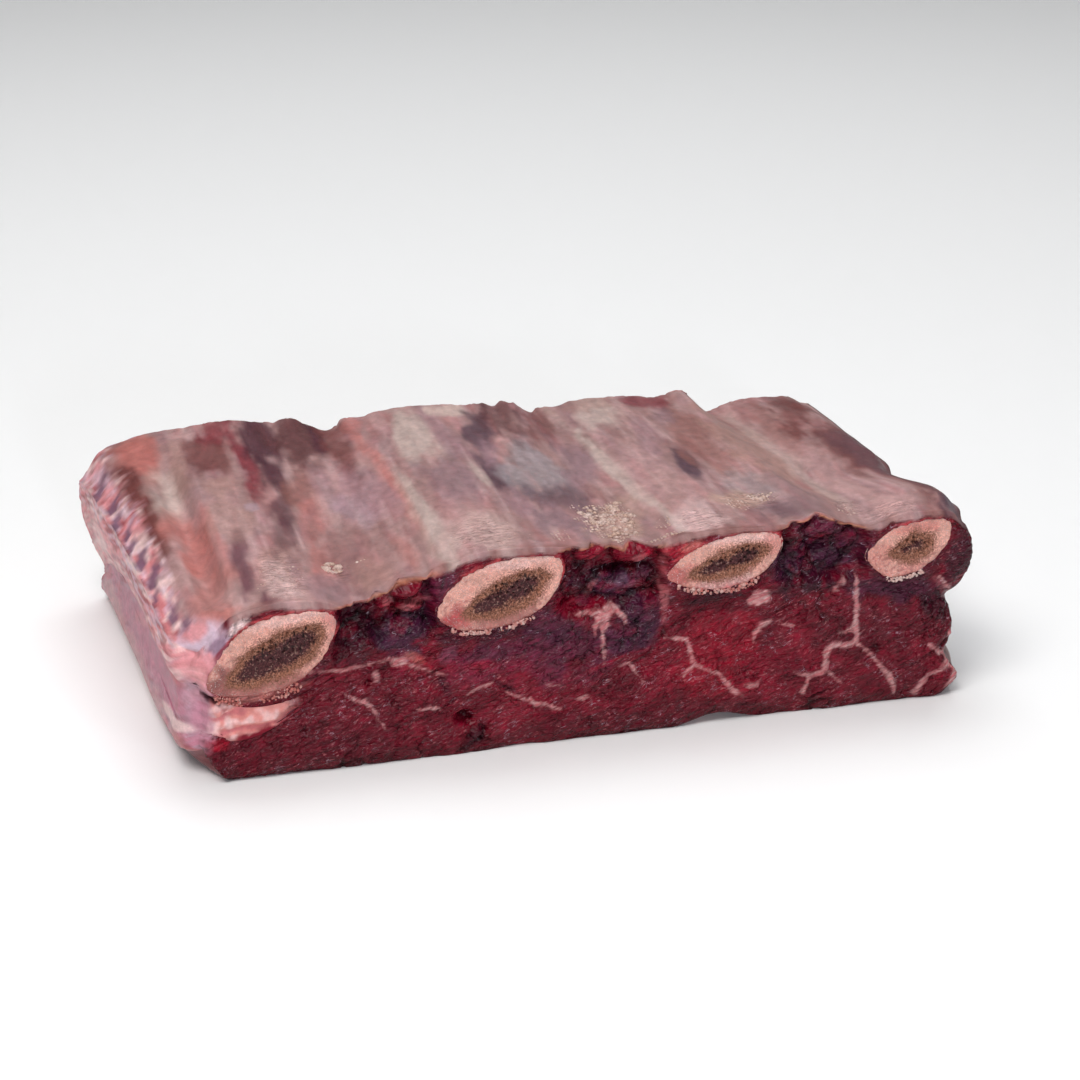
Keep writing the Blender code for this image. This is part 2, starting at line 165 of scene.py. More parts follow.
# How many columns make one face in the top and in the bottom of each layer
RIB_MERGES = (2, 8)
LEAN_MERGES = (8, 4)
WEDGE_MERGES = (8, 8)
SIDE_AXES = {
    "front": (0, 2), "back": (0, 2), "left": (1, 2), "right": (1, 2), "top": (0, 1), "bottom": (0, 1)}
# Where each side of a layer lies in its texture: left, low, right and high
RIB_LAYOUT = {
    "top": (0.005, 0.005, 0.995, 0.62), "front": (0.005, 0.63, 0.995, 0.76),
    "back": (0.005, 0.77, 0.995, 0.87), "left": (0.005, 0.88, 0.495, 0.965),
    "right": (0.505, 0.88, 0.995, 0.965), "bottom": (0.005, 0.975, 0.995, 0.995)}
LEAN_LAYOUT = {
    "front": (0.005, 0.005, 0.995, 0.37), "back": (0.005, 0.38, 0.995, 0.62),
    "left": (0.005, 0.63, 0.495, 0.77), "right": (0.505, 0.63, 0.995, 0.77),
    "bottom": (0.005, 0.78, 0.995, 0.965), "top": (0.005, 0.975, 0.995, 0.995)}
WEDGE_LAYOUT = {
    "front": (0.005, 0.005, 0.995, 0.4), "back": (0.005, 0.41, 0.995, 0.55),
    "left": (0.005, 0.56, 0.995, 0.75), "right": (0.005, 0.76, 0.995, 0.8),
    "bottom": (0.005, 0.81, 0.995, 0.9), "top": (0.005, 0.91, 0.995, 0.995)}
# Numbers that mix the cells of the noise
HASH_START = 2654435769
HASH_PRIMES = (73856093, 19349663, 83492791)
HASH_MIXERS = (np.uint64(2246822519), np.uint64(3266489917))
LOW_BITS = np.uint64(0xFFFFFFFF)
# A distance beyond all others
FAR = 99.0

# Cut faces: relief finer than the model's. The whole number that ends a call for noise is its seed
FRONT_SEED = 200
BACK_SEED = 300
FIBRE_TILT = 20.0
BUNDLE_SIZE = (5.0, 3.4)
BUNDLE_UNEVEN = 0.9
# How deep the creases between bundles are, how far the bundles bulge, and where they start
RIB_BUNDLES = (0.5, 0.7, 0.4)
LEAN_BUNDLES = (0.7, 1.0, 0.6)
FOLD_DEPTH = 1.6
CRACK_SIZE = (17.0, 7.0)
CRACK_DEPTH = 0.8
GAP_EDGE = 3.0
HOLLOW_DEPTH = 3.6
HOLLOW_RISE = 7.0
LIP_THICKNESS = 2.4
LOBES_UNDER_LIP = 0.65
EDGE_ROUND = 1.5
SEAM_BLEND = 4.0
JOINT_STEP = 0.15
BONE_RECESS = 9.0
WEDGE_FOLD = 0.55
WEDGE_FOLD_LENGTH = 1.1

# Cut faces: shades
PATCH_UNEVEN = 0.45
PIT_SHADE = 0.18
LOW_SHADE = 0.25
LOW_SHADE_HEIGHT = 9.0
LOBE_CREASE_SHADE = 0.6
DARKEST_SHADE = 0.25
LIP_SHADE = 0.8
# Where the shade under the bones starts, and where the meat between them does
UNDER_BONES_FROM = (24.0, 34.0)
GAP_HEIGHTS = (40.0, 44.0)
# Where the fat of the wedge turns into lean
WEDGE_ENDS = (20.0, 31.0)

# Skins: the membrane, its left border and the sides
CRUMBLY_HEIGHT = 0.35
STRIP_HEIGHT = 0.5
SLIT_DEPTH = 0.25
SLIT_TURN = 78.0
LEFT_BORDER = 5.5
BORDER_DROP = 7.0
BORDER_SLANT = 0.13
LEFT_SLANT = 0.34
TOP_SPREAD = (4.5, 16.0)
SIDE_SPREAD = (14.0, 4.0)
# Where the skin of the left side wraps round to the cut faces
CORNER_WRAP = (-6.0, -1.0)
RIB_WRAP_HEIGHTS = (45.0, 40.0)
LEAN_WRAP_HEIGHTS = (9.0, 13.0)
# The upper left corner of the cut face is skin too, and the border starts behind it
CORNER_HEIGHT = 38.0
CORNER_SLANT = 0.25
CORNER_ENDS = (1.0, 5.0)
CORNER_DEPTHS = (6.0, 14.0)
EDGE_SLACK = 0.01
MEMBRANE_SHADE = 0.95
LEAN_SKIN = 0.85

# Sawn bones
CORE_SUNK = 0.6
PORE_DEPTH = 1.0
# Size of the cells, share of them that are open, and widest opening
CORE_PORES = ((1.3, 0.4, 0.42), (2.3, 0.3, 0.34))
RIM_ROUND = 0.7
RIM_ROUND_WIDTH = 1.5
BONE_WOBBLE = 0.35
BACK_PATTERN_SHIFT = 40.0

# Beads and crumbs
LUMP_UNEVEN = 0.28
BEAD_SEED = 5
BEADS_PER_POINT = 1.7
BEAD_SIZES = (0.35, 0.8)
BEAD_CLUSTERS = -0.35
BEAD_EDGE_SLOPE = 1.9
# How pale the beads are at each bone, from bone dust to fat
BEAD_SHADES = (0.05, 0.45, 0.3, 0.85)
# How far below each bone its beads reach
BEAD_REACHES = (2.2, 0.6, 1.0, 0.7)
CRUMB_SEED = 9

# Noises of the materials: scale along each axis, detail and roughness
FIBRE_NOISES = {
    "wet": ((0.38, 0.3, 0.75), 2.0, 0.5),
    "fibres": ((0.2, 0.3, 1.7), 4.0, 0.58),
    "specks": ((0.6, 0.9, 2.0), 3.0, 0.6),
    "threads": ((0.36, 0.36, 0.9), 1.0, 0.5),
    "creases": ((0.15, 0.15, 0.4), 2.0, 0.5),
    "dashes": ((0.22, 0.4, 1.2), 0.0, 0.5)}
SPOT_NOISES = {
    "mottle": ((0.35, 0.22, 0.42), 6.0, 0.68),
    "patches": ((0.09, 0.09, 0.14), 2.0, 0.5),
    "breaks": ((0.4, 0.4, 0.5), 1.0, 0.5)}
BONE_NOISES = {
    "mottle": ((0.3, 0.3, 0.3), 5.0, 0.65),
    "fine": ((1.8, 1.8, 1.8), 4.0, 0.65),
    "grit": ((0.9, 0.9, 0.9), 4.0, 0.7),
    "slots": ((0.95, 0.95, 0.55), 1.0, 0.5)}
SCRATCH_NOISE = ((0.3, 1.5, 0.3), 4.0, 0.65)
CRUMB_NOISE = ((1.6, 1.6, 1.6), 3.0, 0.6)
FLOOR_NOISE = ((90.0, 90.0, 90.0), 3.0, 0.5)
SWIRL_SCALE = 0.10
SWIRL_REACH = 3.5
BONE_STRETCH = (1.0, 0.15, 1.0)
BONE_CELL_SCALE = (1.25, 1.25, 1.25)

# The stage
FLOOR_HALF = 3.0
FLOOR_SHADE = (0.94, 0.94, 0.94)
WORLD_COLOUR = (1.0, 1.0, 1.0)
WORLD_STRENGTH = 0.10
RACK_MIDDLE = 0.03
# Name, place, size, power and colour
LIGHTS = (
    ("key", (-0.6, -0.65, 1.3), 0.7, 14.0, (1.0, 0.985, 0.97)),
    ("back", (0.2, 0.7, 1.5), 1.2, 11.0, (0.97, 0.985, 1.0)),
    ("overhead", (0.0, 0.0, 1.6), 1.6, 7.0, (1.0, 1.0, 1.0)),
    ("front", (0.35, -1.7, 0.35), 0.8, 1.0, (1.0, 0.99, 0.98)),
    ("left glint", (-0.15, -1.6, 0.42), 0.1, 5.5, (0.88, 0.92, 1.0)),
    ("right glint", (0.5, -1.55, 0.3), 0.1, 4.5, (0.88, 0.92, 1.0)))

# The camera, fitted to the corners of the rack in the picture: metres and degrees
CAMERA_PLACE = (-0.2587, -0.9033, 0.3941)
CAMERA_YAW = -16.39
CAMERA_PITCH = 20.83
CAMERA_LENS = 100.0
CAMERA_SENSOR = 36.0
CAMERA_NEAR = 0.01


def screen(red, green, blue):
    """A colour given as on a screen, 0 to 255, as linear light."""
    shares = np.array((red, green, blue)) / 255.0
    return np.where(shares <= 0.04045, shares / 12.92, ((shares + 0.055) / 1.055) ** 2.4)


# Colours as on a screen: red, green and blue
SHADES = {
    "lean": (94, 4, 24), "wine": (76, 3, 20), "scarlet": (148, 14, 36), "crimson": (120, 12, 34),
    "purple": (84, 28, 50), "plum": (50, 6, 22), "aubergine": (58, 22, 44), "rose": (190, 104, 108),
    "salmon": (196, 120, 112), "blush": (194, 153, 151), "fat": (204, 132, 126),
    "cream": (192, 170, 163), "ivory": (206, 180, 172), "milk": (228, 197, 195),
    "lavender": (172, 148, 160), "opal": (206, 180, 196), "petal": (216, 144, 148),
    "lilac": (184, 120, 138), "iris": (112, 78, 100), "mauve": (156, 120, 128),
    "silverskin": (196, 156, 172), "pleura": (158, 122, 120), "dusk": (144, 114, 120),
    "smoke": (156, 144, 148), "slate": (86, 62, 74), "bark": (112, 60, 58), "maroon": (90, 48, 50),
    "rust": (140, 92, 86), "tan": (168, 130, 122), "clay": (184, 112, 106), "coral": (178, 100, 92),
    "blood": (124, 44, 54), "night": (78, 38, 50), "gold": (188, 154, 138), "dust": (146, 84, 80),
    "cherry": (164, 58, 62), "amber": (186, 118, 88), "ring": (202, 148, 134), "marrow": (128, 82, 64),
    "core": (66, 30, 32), "pit": (34, 16, 16)}
COLOURS = {name: screen(*shade) for name, shade in SHADES.items()}


def smooth(value):
    """Eases from 0 to 1 as the value goes from 0 to 1."""
    value = np.clip(value, 0.0, 1.0)
    return value * value * (3.0 - 2.0 * value)


def smooth_between(value, start, end):
    """Eases from 0 at the start to 1 at the end."""
    return smooth((value - start) / (end - start))


def fade(distance, reach):
    """1 at no distance, easing to 0 at the reach."""
    return np.clip(1.0 - distance / reach, 0.0, 1.0) ** 2


def hump(value, middle, half_width):
    """A round hump of height 1 at the middle, 0 beyond the half width."""
    share = np.minimum(np.abs(value - middle) / half_width, 1.0)
    return 0.5 * (1.0 + np.cos(math.pi * share))


def along(knots, value):
    """Height of a smooth curve through the knots, level beyond its ends."""
    places, heights = np.array(knots, float).T
    slopes = np.zeros(len(places))
    slopes[1:-1] = (heights[2:] - heights[:-2]) / (places[2:] - places[:-2])
    value = np.clip(value, places[0], places[-1])
    left = np.clip(np.searchsorted(places, value, side="right") - 1, 0, len(places) - 2)
    span = places[left + 1] - places[left]
    share = (value - places[left]) / span
    share2 = share * share
    share3 = share2 * share
    return ((2 * share3 - 3 * share2 + 1) * heights[left]
            + (share3 - 2 * share2 + share) * span * slopes[left]
            + (-2 * share3 + 3 * share2) * heights[left + 1]
            + (share3 - share2) * span * slopes[left + 1])


def lift(s, y):
    """How much higher the rack lies at this depth than at the front."""
    share = y / BLOCK_DEPTH
    return (4.0 * share * (1.0 - share) * along(LIFT_MIDDLE, s)
            + share * (2.0 * share - 1.0) * along(LIFT_BACK, s))


def across(s, y):
    """Where a line that starts at s on the front face has moved to at this depth."""
    bulge, bulge_at, bulge_half_length = RIGHT_BULGE
    hollow, hollow_at, hollow_half_length = RIGHT_HOLLOW
    bend = bulge * hump(y, bulge_at, bulge_half_length) - hollow * hump(y, hollow_at, hollow_half_length)
    fan = along(FAN_BACK, s) * y / BLOCK_DEPTH
    return s + fan + bend * smooth_between(s, RIGHT_BEND_FROM, RIGHT_EDGE)


def top(s, y):
    """The membrane over the ribs."""
    height = along(FRONT_TOP, s) + lift(s, y)
    trough = smooth_between(y, *TROUGH_START) * (1.0 - smooth_between(y, *TROUGH_END))
    height = height - TROUGH_DEPTH * trough * hump(s, TROUGH_AT, TROUGH_HALF_WIDTH)
    near_back = smooth(1.0 - (BLOCK_DEPTH - y) / STEP_REACH)
    for place, step in BACK_STEPS:
        rise = hump(s, place - STEP_OFFSET, STEP_RISE_WIDTH)
        fall = hump(s, place + STEP_OFFSET, STEP_FALL_WIDTH)
        height = height + near_back * step * 0.5 * (rise - fall)
    return height


def seam(s, y):
    """The underside of the rib layer."""
    share = y / BLOCK_DEPTH
    sag = LEFT_SAG * share ** 3 * fade(s - LEFT_EDGE, LEFT_SAG_REACH)
    return along(FRONT_SEAM, s) + lift(s, y) * smooth((s - LEFT_EDGE) / SEAM_LIFT_REACH) - sag


def wedge_thickness(s, y):
    """The fat under the first rib thins away to a sheet towards the back."""
    share = smooth(y / WEDGE_THINS_OVER)
    return along(WEDGE_THICKNESS, s) * (1.0 + (WEDGE_BACK_SHARE - 1.0) * share)


def bottom(s, y):
    """The underside: flat, with a bevel at the front left and a notch in the front edge."""
    bevel = fade(s - LEFT_EDGE, LEFT_BEVEL_WIDTH) * fade(y, LEFT_BEVEL_REACH)
    notch = hump(s, NOTCH_AT, NOTCH_HALF_WIDTH) * fade(y, NOTCH_REACH)
    return LEFT_BEVEL * bevel + NOTCH_LIFT * notch


def lean_top(s, y):
    """The upper side of the lean, under the wedge of fat at the left and the ribs elsewhere."""
    wedge = np.where(s <= WEDGE_RIGHT, wedge_thickness(s, y), 0.0)
    return seam(s, y) - wedge


def side_shift(s, y, share, left_side, right_side, lean_out):
    """How far the sides of a layer bulge from its edge lines."""
    left = along(left_side, share) + LEFT_CORNER * fade(y, LEFT_CORNER_REACH)
    left = left + lean_out * share * y / BLOCK_DEPTH
    return (left * fade(s - LEFT_EDGE, SIDE_FADE)
            + along(right_side, share) * fade(RIGHT_EDGE - s, SIDE_FADE))


def gap_relief(s, height_share):
    """How far the meat between two bones lies behind the cut face."""
    relief = np.zeros(np.shape(s))
    middle_share = hump(height_share, 0.5, 0.6)
    strength = GAP_RECESS * (GAP_RECESS_LEAST + (1.0 - GAP_RECESS_LEAST) * middle_share)
    for gap_left, gap_right in BONE_GAPS:
        half_width = GAP_RECESS_WIDTH * (gap_right - gap_left)
        relief += strength * hump(s, 0.5 * (gap_left + gap_right), half_width)
    return relief


def lean_relief(s, height_share):
    """How far the cut face of the lean lies behind its flat plane."""
    short, long = LEAN_WAVE_LENGTHS
    wave = np.sin(s / short + LEAN_WAVE_TILT * height_share) * np.sin(s / long)
    crown = np.sin(math.pi * np.minimum(1.0, height_share + LEAN_CROWN_LIFT))
    relief = LEAN_WAVE * (1.0 + wave) + LEAN_CROWN * (1.0 - crown)
    return relief + FACE_EDGE_ROUND * fade(height_share, BOTTOM_ROUND_SHARE)


def end_relief(s):
    """How far a cut face is rounded off at its left and right ends."""
    return (LEFT_END_ROUND * fade(s - LEFT_EDGE, LEFT_END_REACH)
            + FACE_EDGE_ROUND * fade(RIGHT_EDGE - s, RIGHT_END_REACH))


def scattered(cells, seed):
    """A fixed random number from 0 to 1 for each whole-numbered cell."""
    mixed = np.full(cells.shape[:-1], HASH_START + 97 * seed, np.uint64)
    for axis, prime in zip(range(cells.shape[-1]), HASH_PRIMES):
        mixed ^= (cells[..., axis].astype(np.int64) * prime).astype(np.uint64)
        mixed = (mixed * HASH_MIXERS[0]) & LOW_BITS
        mixed ^= mixed >> np.uint64(15)
    mixed = (mixed * HASH_MIXERS[1]) & LOW_BITS
    mixed ^= mixed >> np.uint64(13)
    return mixed / float(LOW_BITS)


def lumps(points, size, seed):
    """Smooth noise from -1 to 1 with lumps of about this size."""
    scaled = points / size
    base = np.floor(scaled).astype(np.int64)
    part = smooth(scaled - base)
    total = np.zeros(points.shape[:-1])
    for corner in itertools.product((0, 1), repeat=points.shape[-1]):
        weight = np.prod(np.where(corner, part, 1.0 - part), axis=-1)
        total += weight * scattered(base + corner, seed)
    return 2.0 * total - 1.0


def rough(points, size, seed, octaves=3):
    """Noise of lumps with finer lumps on them, about -1 to 1."""
    total = np.zeros(points.shape[:-1])
    for octave in range(octaves):
        total += 0.5 ** octave * lumps(points, np.multiply(size, 0.5 ** octave), seed + 31 * octave)
    return total


def grains(points, size, seed):
    """For scattered grains on a plane: distance to the nearest and the next, and a number for each."""
    scaled = points / size
    base = np.floor(scaled).astype(np.int64)
    nearest = np.full(points.shape[:-1], FAR)
    following = np.full(points.shape[:-1], FAR)
    number = np.zeros(points.shape[:-1])
    for step in itertools.product((-1, 0, 1), repeat=2):
        cell = base + step
        middle = cell + np.stack((scattered(cell, seed), scattered(cell, seed + 1)), axis=-1)
        gap = np.hypot(*np.moveaxis(scaled - middle, -1, 0))
        closer = gap < nearest
        following = np.where(closer, nearest, np.minimum(following, gap))
        number = np.where(closer, scattered(cell, seed + 2), number)
        nearest = np.where(closer, gap, nearest)
    return nearest, following, number


def segment_gap(s, z, start, end):
    """Distance to a straight line between two points, and how far along it the nearest place is."""
    run_s, run_z = end[0] - start[0], end[1] - start[1]
    from_s, from_z = s - start[0], z - start[1]
    share = np.clip((from_s * run_s + from_z * run_z) / (run_s ** 2 + run_z ** 2), 0.0, 1.0)
    return np.hypot(from_s - share * run_s, from_z - share * run_z), share


def line_gap(s, z, line):
    """Distance to a line of points with widths, less half the width there."""
    best = np.full(np.shape(s), FAR)
    for (*start, width0), (*end, width1) in zip(line, line[1:]):
        gap, share = segment_gap(s, z, start, end)
        best = np.minimum(best, gap - 0.5 * (width0 + share * (width1 - width0)))
    return best


def spot_reach(s, z, middle_s, middle_z, half_s, half_z, turn=0.0):
    """0 in the middle of an oval spot and 1 on its edge."""
    angle = math.radians(turn)
    ds, dz = s - middle_s, z - middle_z
    return np.hypot((ds * math.cos(angle) + dz * math.sin(angle)) / half_s,
                    (dz * math.cos(angle) - ds * math.sin(angle)) / half_z)


def in_spots(s, z, spots, start, end, wobble=0.0):
    """1 inside any of the oval spots, easing to 0 between two shares of their size."""
    share = np.zeros(np.shape(s))
    for spot in spots:
        reach = spot_reach(s, z, *spot) + wobble
        share = np.maximum(share, 1.0 - smooth_between(reach, start, end))
    return share


def plain_tint(colour, count):
    """The same colour for every point."""
    return COLOURS[colour] + np.zeros((count, 3))


def mixed_in(tint, other, share):
    """Other colours laid over a tint by their share at each point."""
    return tint + share[:, None] * (other - tint)


def laid(tint, colour, share):
    """A named colour laid over a tint by its share at each point."""
    return mixed_in(tint, COLOURS[colour], share)


def painted(tint, patches, s, z, wobble, softness=0.4):
    """Lays soft patches of colour with uneven edges over a tint, one after the other."""
    for colour, strength, *spot in patches:
        reach = spot_reach(s, z, *spot) + PATCH_UNEVEN * wobble
        share = strength * (1.0 - smooth_between(reach, 1.0 - softness, 1.0 + softness))
        tint = laid(tint, colour, share)
    return tint


# Cut face: patches of colour, each with its strength, place, half width, half height and any turn. The
# plum ones that lie on the pits and cracks are painted shade in them, and the iris ones at 74.5 and 133
# across are partly painted sheen on the lobes
FACE_PATCHES = (
    ("purple", 0.8, 106, 33, 32, 8, 3), ("scarlet", 0.45, 163, 24, 12, 13, -20),
    ("wine", 0.5, 40, 10, 40, 12), ("crimson", 0.45, 88, 27, 14, 5),
    ("purple", 0.3, 120, 24, 14, 4, 12), ("wine", 0.6, 225, 30, 22, 10), ("wine", 0.6, 130, 6, 40, 4),
    ("crimson", 0.4, 70, 33, 9, 4, -10), ("purple", 0.6, 86, 33.5, 8, 4), ("plum", 0.9, 47, 45, 8, 9),
    ("aubergine", 0.95, 62, 43, 10, 6.5, 12), ("purple", 0.85, 73, 57, 6, 5, 30),
    ("plum", 0.6, 88, 39.5, 16, 2.4), ("aubergine", 0.6, 108, 39, 10, 5, -14),
    ("plum", 0.9, 117, 54, 7, 8), ("aubergine", 0.95, 129, 51, 12, 5, 14),
    ("aubergine", 0.8, 138, 41, 7, 8), ("aubergine", 0.65, 133, 33, 9, 6),
    ("plum", 0.7, 161, 44, 16, 3.2), ("aubergine", 0.95, 195, 52, 15, 8),
    ("purple", 0.8, 197, 62, 12, 4), ("plum", 0.7, 187, 58, 4.5, 5, 20),
    ("plum", 0.9, 196, 44, 16, 3, 3), ("aubergine", 0.75, 226, 39.5, 18, 4.5, -12),
    ("plum", 0.75, 240, 33, 9, 6), ("plum", 0.85, 244, 50, 5, 9), ("crimson", 0.8, 56.5, 54, 3.2, 5),
    ("wine", 0.6, 62, 56, 5.5, 4), ("rose", 0.4, 57, 53, 1, 2.4, -10),
    ("rose", 0.5, 63, 50.5, 5, 1.4, 20), ("crimson", 0.9, 121.5, 62, 5, 3),
    ("rose", 0.4, 121, 59.6, 4, 0.8, 10), ("crimson", 0.6, 134, 61, 6.5, 4),
    ("rose", 0.5, 136.5, 58.5, 2, 1.6), ("scarlet", 0.8, 149, 61, 7, 3),
    ("rose", 0.55, 144.6, 50, 1.5, 12), ("crimson", 0.7, 147, 54, 4, 5),
    ("scarlet", 0.8, 0.5, 12.8, 4.5, 2), ("dust", 0.95, 11, 28.2, 15, 1.9, 7),
    ("plum", 0.9, 130.5, 55.4, 9, 1.1, 3), ("iris", 0.4, 133, 51.4, 5, 2.6, 10),
    ("rose", 0.5, 121.6, 49.6, 1.3, 2.6, -30), ("coral", 0.6, 152.5, 61.8, 4, 1.3, 22),
    ("opal", 0.95, -1.5, 47.5, 8, 7, 20), ("iris", 0.75, 1, 46, 5, 2.6, 45),
    ("milk", 0.9, 9.5, 51.4, 4, 1.7, 25), ("crimson", 0.85, 3.5, 43.5, 1, 6.5, -48),
    ("petal", 0.85, -4.5, 40, 4, 5), ("rose", 0.2, 240, 39, 8, 0.9, -38),
    ("scarlet", 0.4, 128, 25.8, 11, 0.6, 14), ("coral", 0.5, 65.5, 33.6, 3.6, 1.2, -30),
    ("scarlet", 0.6, 69, 31, 4, 1.2, -45), ("scarlet", 0.35, 86, 29.6, 5, 1.4),
    ("iris", 0.25, 74.5, 33.5, 3.6, 2.6, 20), ("plum", 0.6, 73.5, 24.5, 1.4, 6, 25),
    ("plum", 0.7, 84, 7, 2, 7, -32), ("plum", 0.5, 93, 21.5, 4.5, 0.8, -32))
# Pale seams of fat in the cut face: lines of points with the width there
FAT_LINES = (
    ((209, 45.5, 0.5), (209.2, 40, 1.7), (209.6, 36, 2), (209.5, 31, 1.3), (209, 28, 1.5),
     (209.8, 25, 1.6), (209, 23, 1.7), (205, 22, 2), (201.2, 22.8, 1.8), (199.4, 21, 2),
     (198.8, 17.5, 2), (199, 15, 1.8), (198, 13.4, 1.6), (194, 13, 1.4), (191, 13.6, 0.9),
     (188.6, 14.4, 0.3)),
    ((194, 13, 1), (193, 10, 0.9), (191.8, 7, 1.5)),
    ((199.2, 14.4, 0.9), (202, 11.8, 0.8), (205, 9, 0.4)),
    ((209.2, 23, 1.5), (212, 20.5, 0.9), (215, 17.5, 0.8), (217.6, 14.2, 1.2), (221, 10.4, 2),
     (222.6, 7, 1.8), (223.6, 3, 1)),
    ((209, 28, 1.4), (206, 26.7, 0.8), (203.2, 26.6, 0.3)),
    ((231.3, 2.6, 2.4), (233, 6.4, 1.8), (236, 8.4, 1.3), (240, 9.3, 1.2), (246, 11, 2)),
    ((236, 19.4, 0.4), (239, 17.6, 1.1), (243, 15.6, 1.2), (247, 14.6, 1)),
    ((237.5, 42.5, 0.4), (241, 39.6, 0.8), (246, 36.4, 0.9)),
    ((145, 31.4, 0.5), (148, 30.9, 0.7), (152, 30.2, 1.3), (153, 28.4, 1.1), (154, 25, 1.1),
     (154.6, 22.4, 1.2), (155.6, 21, 1.3), (159, 19.3, 1), (163, 17.3, 0.8), (165, 15, 1.5),
     (166.6, 12.8, 1.8), (168.6, 10.4, 1.4), (171, 9.2, 0.3)),
    ((155, 21, 0.9), (152.6, 19.5, 0.7), (151.4, 17.6, 0.2)),
    ((174.8, 26.4, 0.3), (175.2, 29.2, 1.4), (176.8, 31.6, 1.9), (180, 33.6, 1.1)),
    ((57, 34.6, 0.7), (60, 33.2, 1.2), (64, 31.7, 0.8), (69, 29.6, 0.7), (74.5, 26.8, 0.3)),
    ((43, 24.8, 0.5), (46, 22, 1), (48.4, 21.6, 1.3), (50.4, 19.8, 0.8), (53, 15, 0.5),
     (54.4, 12.6, 0.3)),
    ((65.4, 17, 0.3), (69, 17.4, 1.1), (72, 16.4, 0.4)),
    ((93.6, 19.4, 0.3), (98, 17.2, 0.7), (101, 16.2, 0.9), (102.6, 14.6, 1.4), (105.4, 14, 0.8),
     (110.6, 11.8, 0.2)),
    ((106, 20.6, 0.2), (110, 20, 0.5), (113, 18.8, 0.3)),
    ((130, 23.6, 0.3), (133.6, 24.2, 0.8), (135, 22, 1), (136.6, 19.4, 0.6), (138, 17.6, 0.2)),
    ((125.2, 25.4, 0.4), (125, 30, 1), (124.8, 35, 1.5), (125.4, 38, 2.6), (125.8, 41.4, 3.4),
     (129, 42.6, 2.2), (131.4, 40.2, 1.6), (132.2, 37.8, 0.5)),
    ((115.4, 42.4, 0.6), (120.6, 42.2, 1), (124.2, 41.2, 2.6), (122.6, 38.6, 1.8), (122.2, 35.6, 0.6)),
    ((79.5, 19.6, 0.2), (84, 22, 0.5), (89, 23.4, 0.3)),
    ((30, 34.4, 0.4), (42, 32.8, 1), (51, 33.8, 0.5), (57, 34.6, 0.4)),
    ((183, 33.4, 0.2), (184, 31.8, 0.4), (187.6, 31, 0.2)))
# Blobs of fat in the cut face: place, half width, half height, turn
FAT_SPOTS = (
    (176.4, 41.6, 3.8, 2.6, 18), (60, 33.6, 2.4, 1.3, 12), (52.4, 29.6, 1.3, 1.5),
    (118.2, 14.6, 1.5, 0.8), (174.6, 12.2, 1.9, 1), (246, 5.5, 3.4, 2.2, 50), (247.5, 9.5, 1.5, 6, 8),
    (246.4, 21.6, 1.2, 1.3), (202, 41.4, 1.1, 0.9, 30), (204.2, 43.6, 1.1, 0.9, 30))
# Lobes that stand out of the meat between the bones: place, half width, half height, height
LOBES = (
    (56.2, 54.5, 3.2, 5, 3.2), (62.5, 56.4, 5, 4, 4.2), (63.5, 50.6, 4.6, 2.2, 3),
    (61.5, 43, 9, 5.2, 2.6), (47.5, 43, 7, 6.5, 1.6), (73.5, 57, 4.6, 4.4, 2), (120.5, 62, 5, 3.4, 3.4),
    (134, 61, 6.4, 4.4, 4.4), (117, 53, 6, 5, 1.6), (130, 50.5, 11, 4.6, 2.6), (149, 61, 6.4, 3.2, 2.4),
    (138, 40.5, 8, 7, 1.2), (189, 60.6, 4.2, 4, 3), (198.5, 61.6, 8, 3.6, 3.4),
    (190.5, 52.4, 6.4, 5.6, 2.6), (200.6, 52.6, 6.8, 5, 2.8), (243.5, 51, 4.6, 7, 1.2),
    (205.5, 57.6, 4.4, 4.4, 1.8))
# Pits in the cut face: place, half width, half height, turn, depth
PITS = (
    (-2.6, 27.7, 5.5, 1.3, -14, 2.8), (130.5, 55.5, 9, 1, 3, 2.4), (80, 12.6, 4.6, 3.4, 0, 4.2),
    (81, 6, 1, 6, -30, 1.6), (86, 6.5, 1, 7, -32, 1.6), (73.5, 24.5, 0.8, 6.5, 25, 1.2),
    (93, 21.5, 5, 0.7, -32, 1), (49.8, 27.4, 1, 2.2, 10, 2.4), (86, 8, 5.5, 1.6, -62, 1.4),
    (144.8, 34, 0.8, 4, 0, 1.4), (113.5, 47, 4, 1, 8, 1.6), (157, 35.5, 6, 0.5, 4, 0.8))

# Streaks in the skins, in layers: colour, strength, length and width
TOP_LAYERS = (
    ("mauve", 0.4, 5, 28), ("blush", 0.35, 7, 40), ("rose", 0.2, 4, 24), ("bark", 0.16, 2.6, 26),
    ("milk", 0.2, 2.2, 30))
LEFT_LAYERS = (
    ("rose", 0.6, 22, 5), ("lilac", 0.5, 18, 2.6), ("milk", 0.7, 16, 1.5), ("crimson", 0.35, 12, 0.9),
    ("blush", 0.5, 9, 0.7))
BORDER_LAYERS = (
    ("rose", 0.7, 14, 3), ("milk", 0.85, 11, 1.7), ("crimson", 0.6, 9, 1.1), ("opal", 0.6, 6, 0.8))
LOW_LAYERS = (("rose", 0.5, 16, 5), ("lavender", 0.5, 10, 1.6), ("crimson", 0.4, 8, 1.2))
RIGHT_LAYERS = (("bark", 0.5, 16, 4), ("wine", 0.4, 12, 2), ("tan", 0.25, 9, 1.2))

# Where the membrane's edge curves back between the bones: place, half width and depth
LIP_ARCHES = (
    (48, 3, 1.2), (55, 3.4, 3), (62.5, 6, 6.6), (73, 5, 2.4), (115.5, 3, 1), (121.5, 4, 3.6),
    (128.5, 2.8, 1.6), (135.5, 6, 6.4), (149, 6.5, 3), (188, 4, 2.2), (198, 6.5, 3), (208, 3.5, 1.6))
